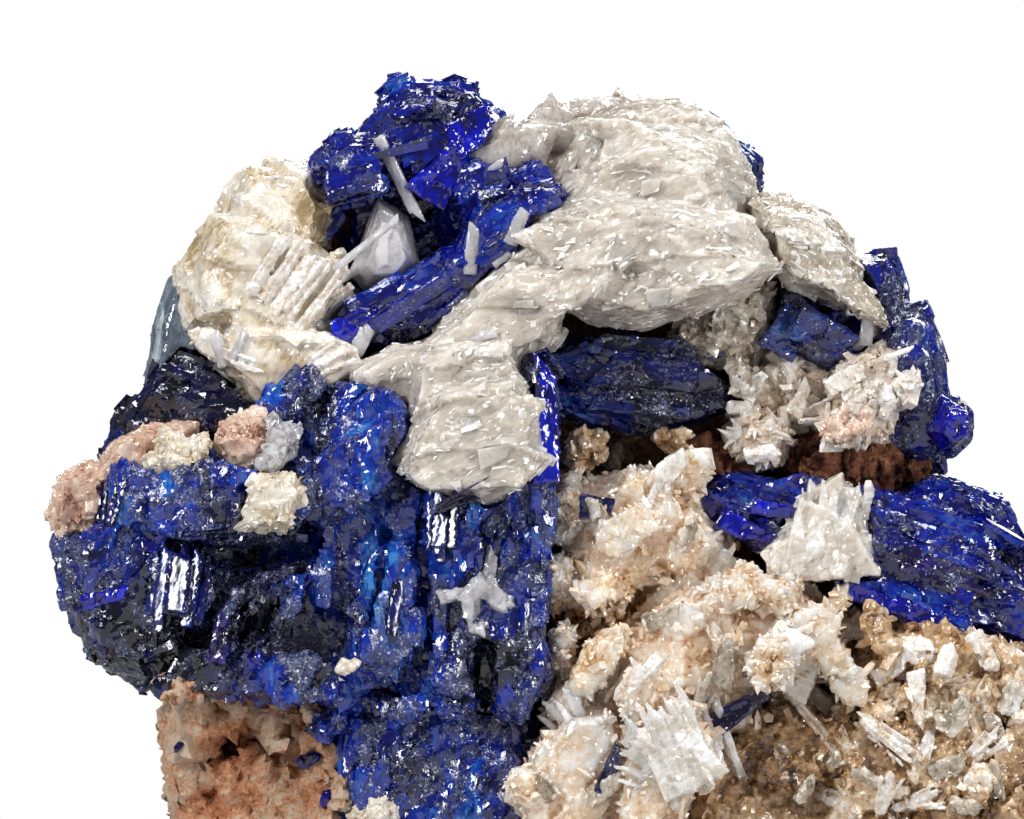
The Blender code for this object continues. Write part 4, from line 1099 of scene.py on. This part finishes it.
# %% Tufts
TUFTS = [
    ("pink_crystal_tuft", "pink", "pink_crystal", 16, 140, 400, 47, 0.4, 0.6),
    ("white_crystal_tuft", "ivory", "pale_crystal", 14, 120, 400, 48, 0.4, 0.6),
    ("white_crystal_block", "ivory", "pale_crystal", 30, 90, 400, 49, 0.3, 0.5),
    ("glassy_crystal_tuft", "milky", "clear_crystal", 14, 90, 60, 50, 0.4, 0.7),
    ("grey_crystal_cluster", "honey", "clear_crystal", 50, 240, 100, 51, 0.5, 0.9),
]
for *tuft, depth, reach in TUFTS:
    druse_mass(*tuft, depth=depth, reach=reach, voxel=0.14)

# %% [markdown]
# ## Clear crystals

# %% Clear crystal
base = skin("clear_crystal_skin", "clear_crystal", "milky", "clear_crystal", voxel=0.1)
relieve(base, [(facets, 2.0, 0.12), (facets, 0.8, 0.05)], along=heading(20), stretch=1.5, seed=60)

# %% [markdown]
# ## Host rock and rust

# %% Rock
def pits(place):
    """Plain rock with holes in it where a slow noise is high."""
    return crumple(place) * 0.5 - max(noise.noise(place * 1.7) - 0.25, 0.0) * 3.0


def rock_mass(node, finish, slot, chips, depth, seed, voxel, **others):
    layers = [
        (facets, 3.0, depth * 0.7),
        (pits, 2.0, depth),
        (facets, 0.8, depth * 0.4),
        (crumple, 0.5, depth * 0.4),
    ]
    habit = {"wander": 0.8, "sink": 0.5, "varied": 0.2}
    growths = [("grains", chips, CHIPS, (0.15, 0.6), (0.15, 0.5), (0.1, 0.4), habit)]
    dress_mass(node, finish, slot, layers, growths, seed, voxel=voxel, stretch=1.3, sharp=40, **others)


ROCK_STROKES = [
    (-17.0, 5.2, -13.4, 5.4, 2.6, 1.3),
    (-17.2, 7.3, -15.6, 7.9, 0.6, 1.3),
    (-15.6, 7.9, -14.4, 8.5, 0.5, 1.6),
    (-14.2, 8.1, -13.2, 7.4, 0.4, 1.4),
    (-12.6, 8.6, -12.2, 6.8, 0.3, 1.0),
]
# The first spot, under the ragged lower edge of the crust, is a painted shadow.
ROCK_SPOTS = [
    (-15.6, 8.0, 1.4, -0.35, 0.0),
    (-15.0, 5.6, 2.6, -0.12, 0.0),
    (-17.6, 9.8, 2.0, 0.15, 0.0),
    (-13.4, 9.6, 1.8, 0.15, 0.0),
]
rock_mass(
    "host_rock", "rock", "host_rock", 4500, 0.6, 81, 0.27, strokes=ROCK_STROKES, spots=ROCK_SPOTS
)
rock_mass("rust_seam", "rust", "rust", 1800, 0.7, 82, 0.18)

# %% [markdown]
# ## Crystals set one by one
#
# The crystals that give the specimen its face are set one by one. Each is a row: its middle in the picture's
# plane, its angle from upright, its length, width and thickness, how far its face turns about its length and
# how far its end nods towards the viewer. A ray from the front finds the surface that it lies on. A sheaf is
# one row split into thin crystals side by side, as in a fluted or fibrous one. Chips lie half their length
# further back along their angle than the others.

# %% Setting crystals
def all_skins():
    """A ray target made of every skin."""
    shape = bmesh.new()
    for piece in bpy.data.objects:
        if piece.name.endswith("_skin"):
            shape.from_mesh(piece.data)
    tree = BVHTree.FromBMesh(shape)
    shape.free()
    return tree


AHEAD = all_skins()
VIEWER = Vector((0.0, -1.0, 0.0))
RAY_START = -60.0
BRIDGE_SAMPLES = (-0.45, 0.0, 0.45)  # shares of a crystal's length


def surface_at(across, up):
    """How far back the front surface lies at this place in the picture's plane, in mm."""
    hit = AHEAD.ray_cast(Vector((across, RAY_START, up)) * MM, -VIEWER)[0]
    return hit.y / MM if hit else 0.0


def set_crystals(
    name, kinds, rows, finish, slot,
    out=0.1, relief=0.06, grain=0, stretch=1.5, shade=0.0, voxel=0.1, bridging=False,
):
    """Crystals in rows, their middles this far out from the surface, fused and cleaved along the grain.
    Bridging ones lie on the foremost surface that they pass over."""
    at, aims, faces, sizes = [], [], [], []
    for across, up, angle, length, width, thick, yaw, nod in rows:
        flat = Vector(heading(angle))
        aim = (flat * math.cos(math.radians(nod)) + VIEWER * math.sin(math.radians(nod))).normalized()
        face = Matrix.Rotation(math.radians(yaw), 3, aim) @ VIEWER
        passed = BRIDGE_SAMPLES if bridging else (0.0,)
        depth = min(surface_at(across + flat.x * length * k, up + flat.z * length * k) for k in passed)
        middle = Vector((across, depth - out, up))
        at.append(middle - aim * length / 2)
        aims.append(aim)
        faces.append(face)
        sizes.append((width, thick, length))
    turn = turns(np.array(aims), np.array(faces))
    piece = joined(name, kinds, np.array(at), turn, np.array(sizes), np.zeros(len(rows)), finish, slot)
    fuse(piece, voxel)
    relieve(
        piece, [(facets, 0.9, relief), (facets, 0.35, relief * 0.5), (crumple, 1.2, relief)],
        along=heading(grain), stretch=stretch, seed=len(rows), sharp=22,
    )
    write_values(piece.data, "shade", np.full(len(piece.data.vertices), shade))
    return piece


def sheaf(row, count, fan=6.0, ragged=0.2, twist=12.0, seed=0):
    """One row split into thin crystals side by side, that spread by this angle and end unevenly."""
    across, up, angle, length, width, thick, yaw, nod = row
    chance = np.random.default_rng(seed)
    side = math.radians(angle + 90)
    rows = []
    for k in range(count):
        share = (k + 0.5) / count - 0.5
        shift = share * width + chance.normal() * width * 0.04
        slide = chance.uniform(-1, 1) * ragged * length / 2
        rows.append(
            (
                across + math.sin(side) * shift + math.sin(math.radians(angle)) * slide,
                up + math.cos(side) * shift + math.cos(math.radians(angle)) * slide,
                angle + fan * share * 2,
                length * chance.uniform(1 - ragged, 1),
                width / count * chance.uniform(0.9, 1.5),
                thick * chance.uniform(0.6, 1.1),
                yaw + chance.normal() * twist,
                nod + chance.normal() * twist / 3,
            )
        )
    return rows


# %% Blue faces
# The yaw and nod of the bright ones turn them halfway between the viewer and a softbox, so they gleam.
GLEAM_LEFT = (-23.0, -12.0)
GLEAM_RIGHT = (24.0, -8.0)
BLUE_FACES = [
    (-3.3, 38.7, 62, 2.6, 2.0, 1.0, -10, -10),
    (-5.0, 36.8, 30, 3.4, 2.4, 1.0, 8, 0),
    (-19.2, 18.6, 4, 1.9, 1.4, 0.6, -6, 0),
    (-14.3, 12.2, 60, 1.4, 0.8, 0.5, 5, 20),
    (-21.6, 15.4, 78, 2.6, 0.9, 0.5, 0, 10),
    (16.8, 15.4, 112, 4.4, 1.2, 0.8, 4, 8),
    (19.2, 14.4, 116, 3.6, 1.0, 0.8, -6, 4),
    (10.4, 18.6, 118, 3.4, 1.2, 0.7, 0, 4),
    (12.6, 19.6, 100, 4.2, 0.8, 0.5, 6, 0),
    (-8.0, 29.6, 66, 5.0, 1.3, 0.6, 8, 0),
    (-10.6, 33.9, 40, 3.0, 1.0, 0.5, 4, 0),
    (16.4, 31.0, 60, 2.2, 1.2, 0.6, 0, 0),
    (8.0, 27.6, 96, 3.2, 0.8, 0.5, 0, 0),
    (15.2, 29.6, 60, 1.4, 0.9, 0.6, 10, 0),
]
# Their shade of 0.15 is partly a painted glow, for light shining through the blue crystal.
set_crystals("blue_faces", BLADES, BLUE_FACES, "deep_blue", "linarite", relief=0.07, grain=30, shade=0.15)
# Its shade of 0.5 is painted light, which lifts it out of the shadow that the crown casts on it.
STRIP = [
    (0.2, 24.4, 0, 6.6, 1.2, 2.6, 4, 0),
    (0.3, 24.0, 0, 5.6, 1.0, 2.8, 8, 0),
]
set_crystals(
    "blue_strip", BLADES[2:3], STRIP, "deep_blue", "linarite", relief=0.04, stretch=5, shade=0.5
)
# Its shade of 0.25 is a painted glow, for light shining through the deep blue crystal.
GEM = [(20.6, 24.0, 10, 2.8, 1.9, 1.6, 20, 0)]
set_crystals("blue_gem", PLATES, GEM, "deep_blue", "linarite", out=0.5, relief=0.03, shade=0.25)
SHADED_FACES = [
    (13.2, 30.4, 62, 4.2, 2.0, 1.4, -14, 8),
    (14.4, 28.8, 110, 3.4, 1.8, 1.4, 16, -6),
    (12.4, 28.8, 30, 2.6, 1.8, 1.2, 10, 0),
]
set_crystals(
    "shaded_faces", BLADES, SHADED_FACES, "navy_level", "dark_linarite",
    relief=0.1, grain=75, stretch=3, shade=0.05,
)
GLEAMING = [
    (-18.3, 16.3, 8, 3.4, 2.0, 0.7, *GLEAM_LEFT),
    *sheaf((-18.1, 16.1, 8, 4.4, 2.8, 0.6, *GLEAM_LEFT), 7, fan=3, ragged=0.35, twist=1),
    (-4.9, 19.4, 2, 3.0, 0.9, 0.7, *GLEAM_LEFT),
    *sheaf((-4.9, 19.4, 2, 4.0, 1.5, 0.6, *GLEAM_LEFT), 4, fan=2, ragged=0.3, twist=1),
    *sheaf((-21.4, 20.4, 12, 3.0, 1.2, 0.4, *GLEAM_LEFT), 6, fan=8, twist=3),
    *sheaf((-7.2, 15.0, 8, 3.4, 0.7, 0.3, *GLEAM_RIGHT), 3, fan=3, twist=3),
    *sheaf((-9.6, 35.6, 72, 2.2, 0.8, 0.3, *GLEAM_LEFT), 4, fan=3, twist=3),
]
set_crystals(
    "gleaming_blades", BLADES[2:3], GLEAMING, "gleaming", "linarite",
    out=0.3, relief=0.025, grain=8, stretch=8,
)

# %% Dark blades
DARK_BLADES = [
    *sheaf((20.6, 16.4, 116, 5.6, 1.6, 0.7, 10, 0), 4, fan=3, ragged=0.1),
    *sheaf((-3.4, 20.6, 66, 4.2, 0.8, 0.4, 0, 0), 4, fan=6, ragged=0.15),
    (3.6, 6.9, 24, 2.8, 0.9, 0.6, 10, 0),
    (10.1, 10.0, 54, 4.2, 1.3, 0.7, -8, 0),
    (2.9, 19.9, 92, 1.8, 1.2, 0.6, 0, 0),
    (-2.2, 19.2, 40, 1.6, 0.8, 0.5, 0, 0),
]
set_crystals("dark_blades", BLADES, DARK_BLADES, "violet", "dark_linarite", grain=60, stretch=3)

CURVED_RIDGE = [
    (-15.9, 13.5, 14, 2.6, 0.9, 0.9, 10, 0),
    (-15.3, 15.0, 34, 2.2, 0.9, 0.9, 10, 0),
    (-14.3, 15.9, 58, 2.2, 0.9, 0.9, 6, 0),
    (-12.9, 16.5, 74, 2.2, 0.7, 0.8, 0, 0),
]
set_crystals(
    "curved_ridge", BLADES, CURVED_RIDGE, "violet_dusty", "linarite", relief=0.1, grain=35, shade=0.05
)

POCKET_BARS = [
    (4.9, 27.9, -84, 5.8, 1.3, 1.2, 0, 4),
    (5.2, 26.6, -85, 5.4, 1.5, 1.2, 0, 0),
    (4.9, 25.2, -86, 5.2, 1.4, 1.2, 0, -6),
]
set_crystals(
    "pocket_bars", BLADES[2:3], POCKET_BARS, "navy_level", "dark_linarite",
    relief=0.1, grain=95, stretch=7,
)

# %% Clear and milky crystals
STAR = [
    (-2.5, 16.6, 16, 3.0, 0.9, 0.6, 20, 10),
    (-3.9, 15.7, 76, 2.4, 0.8, 0.6, -10, 0),
    (-3.3, 14.6, 172, 2.4, 0.9, 0.7, 14, 6),
    (-2.3, 15.3, 140, 1.8, 1.3, 0.7, 0, 8),
    (-3.1, 15.8, 40, 1.8, 1.2, 0.7, 30, 8),
]
CLEAR_RODS = [
    (-3.4, 32.8, 6, 2.5, 0.8, 0.5, 10, 4),
    (-1.9, 32.3, 52, 1.1, 0.5, 0.4, 0, 0),
    (-1.1, 33.9, 24, 1.9, 0.9, 0.4, 20, 0),
    (-2.6, 36.8, 62, 1.8, 0.6, 0.4, 0, 6),
    (-2.9, 28.4, 70, 1.4, 0.5, 0.4, 0, 6),
    (10.8, 27.4, 2, 1.4, 0.5, 0.5, 0, 8),
    (16.4, 29.2, 6, 2.4, 0.8, 0.6, 10, 6),
    (1.7, 22.8, 35, 1.8, 1.0, 0.8, 0, 0),
    (3.4, 21.8, 70, 2.0, 0.9, 0.7, 0, 8),
    (-8.9, 28.3, 30, 1.6, 1.0, 0.6, 0, 10),
    (-16.0, 27.8, -20, 1.8, 0.8, 0.7, 0, 14),
    (-15.0, 28.0, 25, 1.6, 0.7, 0.6, 0, 14),
]
NEEDLE = [
    (-7.05, 36.45, 154, 4.6, 0.6, 0.55, 10, 4),
    (-7.35, 36.6, 154, 4.0, 0.4, 0.5, -10, 4),
    (-8.7, 33.05, 51, 4.2, 0.5, 0.5, 0, 4),
]
needle = set_crystals(
    "needle", RODS, NEEDLE, "milky", "clear_crystal",
    out=0.4, relief=0.015, grain=154, stretch=6, bridging=True,
)
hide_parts("needle_crystal")
set_crystals("star_crystal", BLADES, STAR, "milky", "clear_crystal", out=0.2, relief=0.12)
set_crystals("clear_rods", RODS, CLEAR_RODS, "glass", "clear_crystal", relief=0.03, stretch=4)
PEAK = [
    (0.7, 38.6, 6, 4.4, 3.0, 1.8, 30, 0),
    (-1.0, 37.7, 64, 5.0, 2.8, 1.6, 20, 6),
    (-2.2, 38.2, 40, 3.6, 2.0, 1.4, -20, 0),
    (0.9, 38.4, 100, 3.2, 1.8, 1.4, 30, 10),
    (3.2, 39.9, 84, 3.4, 1.4, 1.0, 10, 0),
]
set_crystals(
    "smoky_crystals", POINTS[2:3] + POINTS[:1], PEAK, "smoke", "clear_crystal", out=0.5, relief=0.03
)

# %% Lumps between the larger growths
ROCK_CRUST = [
    (-18.6, 11.8, 30, 1.4, 0.9, 1.0, 0, 0),
    (-17.0, 11.1, 70, 2.4, 1.4, 1.2, 0, 0),
    (-16.4, 10.5, 94, 2.8, 1.2, 1.2, 0, 0),
    (-14.0, 10.2, 98, 2.8, 1.2, 1.2, 0, 0),
    (-11.8, 9.7, 104, 2.8, 1.4, 1.2, 0, 0),
    (-10.0, 8.6, 130, 2.6, 1.4, 1.2, 0, 0),
    (-9.6, 6.6, 20, 2.2, 1.3, 1.0, 0, 0),
    (-10.2, 5.0, 160, 2.0, 1.3, 1.0, 0, 0),
]
VEIN_BRIDGES = [
    (-9.2, 9.6, 70, 3.0, 1.8, 1.6, 0, 0),
    (-7.2, 10.1, 96, 3.2, 1.6, 1.6, 0, 0),
    (-5.0, 10.0, 84, 3.2, 1.8, 1.6, 0, 0),
    (-3.0, 9.7, 100, 2.8, 1.6, 1.4, 0, 0),
    (-8.2, 8.4, 20, 2.6, 1.6, 1.2, 0, 0),
    (-4.2, 8.4, 160, 2.6, 1.6, 1.2, 0, 0),
]
set_crystals(
    "vein_bridges", CHIPS, VEIN_BRIDGES, "linarite_upright", "linarite",
    out=0.0, relief=0.25, grain=30, stretch=2, voxel=0.14, bridging=True,
)
set_crystals(
    "rock_crust", CHIPS, ROCK_CRUST, "rock", "host_rock", relief=0.3, stretch=1, shade=0.1, voxel=0.14
)
ROCK_BLUES = [
    (-17.7, 8.3, 40, 0.9, 0.6, 0.6, 0, 0),
    (-10.8, 7.6, 70, 1.6, 0.9, 0.8, 0, 0),
    (-10.4, 6.0, 20, 1.4, 0.8, 0.8, 0, 0),
]
set_crystals("blues_on_rock", CHIPS, ROCK_BLUES, "deep_blue", "linarite", relief=0.1)
PINK_POINTS = [
    (14.6, 24.0, 30, 1.6, 0.9, 0.8, 0, 16),
    (15.6, 23.7, 70, 1.6, 0.8, 0.8, 0, 10),
    (15.2, 24.7, -10, 1.4, 0.8, 0.7, 0, 20),
    (16.3, 24.4, 20, 1.3, 0.7, 0.7, 0, 20),
]
set_crystals("pink_points", POINTS, PINK_POINTS, "pink", "pink_crystal", out=0.3, relief=0.14)
LUMPS = [
    (1.6, 21.2, 0, 3.4, 2.4, 3.4, 0, 0),
    (1.3, 18.0, 10, 3.8, 2.2, 3.4, 0, 0),
    (1.2, 14.6, 0, 3.6, 2.0, 3.2, 0, 0),
    (9.6, 16.4, 40, 3.4, 2.6, 3.0, 0, 0),
    (11.6, 16.4, 70, 3.0, 2.4, 3.0, 0, 0),
    (13.2, 15.2, 100, 3.0, 2.4, 2.8, 0, 0),
    (12.0, 13.6, 20, 3.0, 2.4, 2.8, 0, 0),
    (15.6, 13.6, 110, 3.0, 2.0, 2.4, 0, 0),
]
POCKET_LUMPS = [
    (2.4, 24.2, 0, 2.6, 2.4, 1.6, 0, 0),
    (5.0, 23.2, 60, 2.4, 1.8, 1.6, 0, 0),
    (7.8, 23.0, 100, 2.2, 1.6, 1.6, 0, 0),
    (3.8, 22.2, 40, 2.0, 1.6, 1.6, 0, 0),
]
set_crystals(
    "pocket_lumps", CHIPS, POCKET_LUMPS, "taupe", "rust", out=0.6, relief=0.3, stretch=1, voxel=0.14
)
lumps = set_crystals(
    "druse_lumps", CHIPS, LUMPS, "cream", "druse", out=1.0, relief=0.3, stretch=1, voxel=0.16
)
grow(
    lumps, "lumps", "sugar", 1600, POINTS + CHIPS, (0.2, 0.8), (0.15, 0.4), (0.15, 0.4),
    wander=0.6, seed=70, sink=0.5, varied=0.15, finish="cream_grains",
)

# %% White and cream crystals
SPIKES = [
    (6.4, 21.6, 48, 3.2, 1.3, 0.8, 10, 10),
    (5.4, 20.2, 20, 2.4, 0.8, 0.6, 0, 20),
    (11.9, 12.4, 70, 2.8, 1.8, 1.2, 10, 10),
    (13.4, 11.6, 35, 2.6, 1.6, 1.1, 0, 20),
    (12.6, 13.2, 100, 2.2, 1.4, 1.0, -20, 0),
    (18.8, 12.8, 100, 2.4, 1.4, 1.0, 0, 20),
    (20.4, 12.4, 20, 1.8, 1.2, 0.9, 15, 0),
    (22.2, 12.6, 150, 2.4, 1.1, 0.8, -20, 0),
    (17.6, 11.8, 60, 2.0, 1.0, 0.8, 0, 20),
    (18.9, 10.2, 175, 3.0, 1.0, 0.8, 0, 10),
    (15.4, 26.4, 60, 2.4, 1.0, 0.8, 0, 10),
    (13.2, 25.4, 30, 2.0, 0.9, 0.7, 0, 16),
    (17.4, 25.2, 10, 1.8, 0.8, 0.7, 0, 16),
    (11.2, 22.6, 80, 1.8, 0.9, 0.8, 0, 16),
]
SIDE_POINTS = [
    (14.8, 7.4, 60, 2.2, 0.9, 0.8, 0, 20),
    (16.4, 6.4, 120, 1.8, 0.8, 0.7, 0, 20),
    (13.4, 6.0, 30, 1.8, 0.8, 0.7, 10, 20),
    (12.2, 7.6, -20, 1.6, 0.8, 0.7, 0, 24),
    (20.9, 9.6, 40, 2.2, 1.2, 1.0, 0, 20),
    (22.6, 8.8, -30, 2.2, 1.2, 1.0, 0, 20),
    (20.4, 7.0, 70, 2.0, 1.0, 0.9, 10, 20),
    (22.8, 6.4, 10, 2.0, 1.1, 0.9, 0, 20),
    (21.4, 5.0, 100, 2.0, 1.0, 0.9, 0, 20),
    (23.6, 10.6, 20, 2.0, 1.1, 0.9, -10, 16),
    (15.2, 11.6, 80, 2.0, 1.0, 0.8, 0, 20),
    (7.4, 18.6, 30, 2.0, 1.0, 0.8, 0, 24),
    (3.0, 19.6, -20, 2.0, 1.0, 0.8, 0, 24),
    (6.2, 14.6, 60, 2.2, 1.1, 0.9, 0, 20),
    (9.2, 12.2, 10, 2.4, 1.1, 0.9, 0, 20),
    (3.4, 5.8, 70, 2.2, 1.2, 0.9, 0, 20),
    (0.2, 6.2, -30, 2.0, 1.1, 0.9, 0, 20),
]
set_crystals(
    "white_spikes", BLADES + POINTS, SPIKES, "frost", "druse", out=0.2, relief=0.08, stretch=2, shade=0.15
)
set_crystals("beige_points", POINTS + BLADES, SIDE_POINTS, "honey", "druse", relief=0.1, stretch=2)
FIBRES = [
    *sheaf((4.6, 11.6, 40, 3.6, 1.5, 0.7, 0, 12), 6, fan=5),
    *sheaf((14.0, 9.7, 138, 4.2, 1.8, 1.0, 0, 10), 5, fan=4, ragged=0.1),
    *sheaf((17.2, 8.5, 128, 3.4, 1.1, 0.7, 0, 10), 6, fan=4),
    *sheaf((19.3, 8.0, 200, 2.0, 0.7, 0.5, 0, 20), 4, fan=10),
    *sheaf((18.8, 5.2, 75, 2.8, 1.0, 0.6, 0, 20), 5, fan=14),
    *sheaf((22.0, 7.8, 50, 2.6, 1.2, 0.7, 0, 20), 5, fan=10),
    *sheaf((14.6, 5.4, 110, 2.4, 1.0, 0.6, 0, 20), 5, fan=16),
    *sheaf((8.2, 10.6, 20, 2.4, 1.0, 0.6, 0, 20), 4, fan=12),
    *sheaf((17.2, 5.6, 20, 2.4, 0.9, 0.6, 0, 20), 4, fan=16),
    *sheaf((8.9, 13.4, 150, 2.0, 0.8, 0.6, 0, 14), 4, fan=8),
    *sheaf((17.0, 28.2, 58, 3.2, 1.8, 0.7, 0, 8), 7, fan=14),
    *sheaf((14.0, 24.6, 80, 2.6, 1.2, 0.6, 0, 8), 5, fan=16),
    *sheaf((-12.0, 30.9, 36, 3.6, 4.6, 0.9, 0, 8), 20, fan=4, ragged=0.15, twist=4),
    *sheaf((-15.2, 26.9, 118, 2.4, 1.6, 0.6, 0, 14), 5, fan=8),
    *sheaf((-10.4, 27.4, 60, 2.2, 1.4, 0.6, 0, 14), 4, fan=8),
]
set_crystals(
    "fibrous_crystals", RODS, FIBRES, "frost", "druse", out=0.15, relief=0.05, stretch=1, shade=0.1
)
FLUTED = [
    (7.0, 7.8, -24, 4.0, 3.6, 0.7, 8, 10),
    *sheaf((7.0, 8.3, -24, 5.4, 4.8, 0.9, 8, 10), 15, fan=6, ragged=0.18, twist=8),
    *sheaf((5.2, 7.0, -60, 3.2, 2.4, 0.8, 0, 14), 7, fan=8),
    *sheaf((1.6, 9.6, -30, 3.0, 2.6, 0.8, 0, 14), 6, fan=20),
]
WEDGE = [
    (14.3, 18.3, 10, 3.8, 4.0, 1.0, 8, 6),
    (12.9, 17.9, 48, 3.4, 2.4, 1.0, -14, 6),
    (13.6, 17.1, 84, 4.6, 1.8, 1.0, 0, 8),
    (15.4, 17.4, 150, 3.0, 2.0, 1.0, 14, 0),
    *sheaf((14.7, 19.5, 6, 3.6, 3.4, 0.7, 8, 6), 13, fan=6, ragged=0.14, twist=5),
]
CHALK = [
    (-6.4, 5.0, 80, 3.4, 2.0, 1.0, 0, 0),
    (-7.6, 5.6, 40, 2.0, 1.4, 0.9, 0, 0),
    (-4.6, 4.6, 20, 1.8, 1.4, 0.9, 0, 0),
    (-8.8, 12.3, 70, 1.8, 0.9, 0.6, 0, 0),
]
set_crystals("chalky_patches", CHIPS, CHALK, "ivory", "pale_crystal", out=0.0, relief=0.2)
set_crystals(
    "wedge_plates", BLADES, WEDGE, "white", "pale_crystal",
    out=0.2, relief=0.12, grain=6, stretch=3, shade=0.12,
)
set_crystals(
    "fluted_plates", BLADES, FLUTED, "white", "pale_crystal",
    out=0.25, relief=0.07, grain=-24, stretch=4, shade=0.3,
)
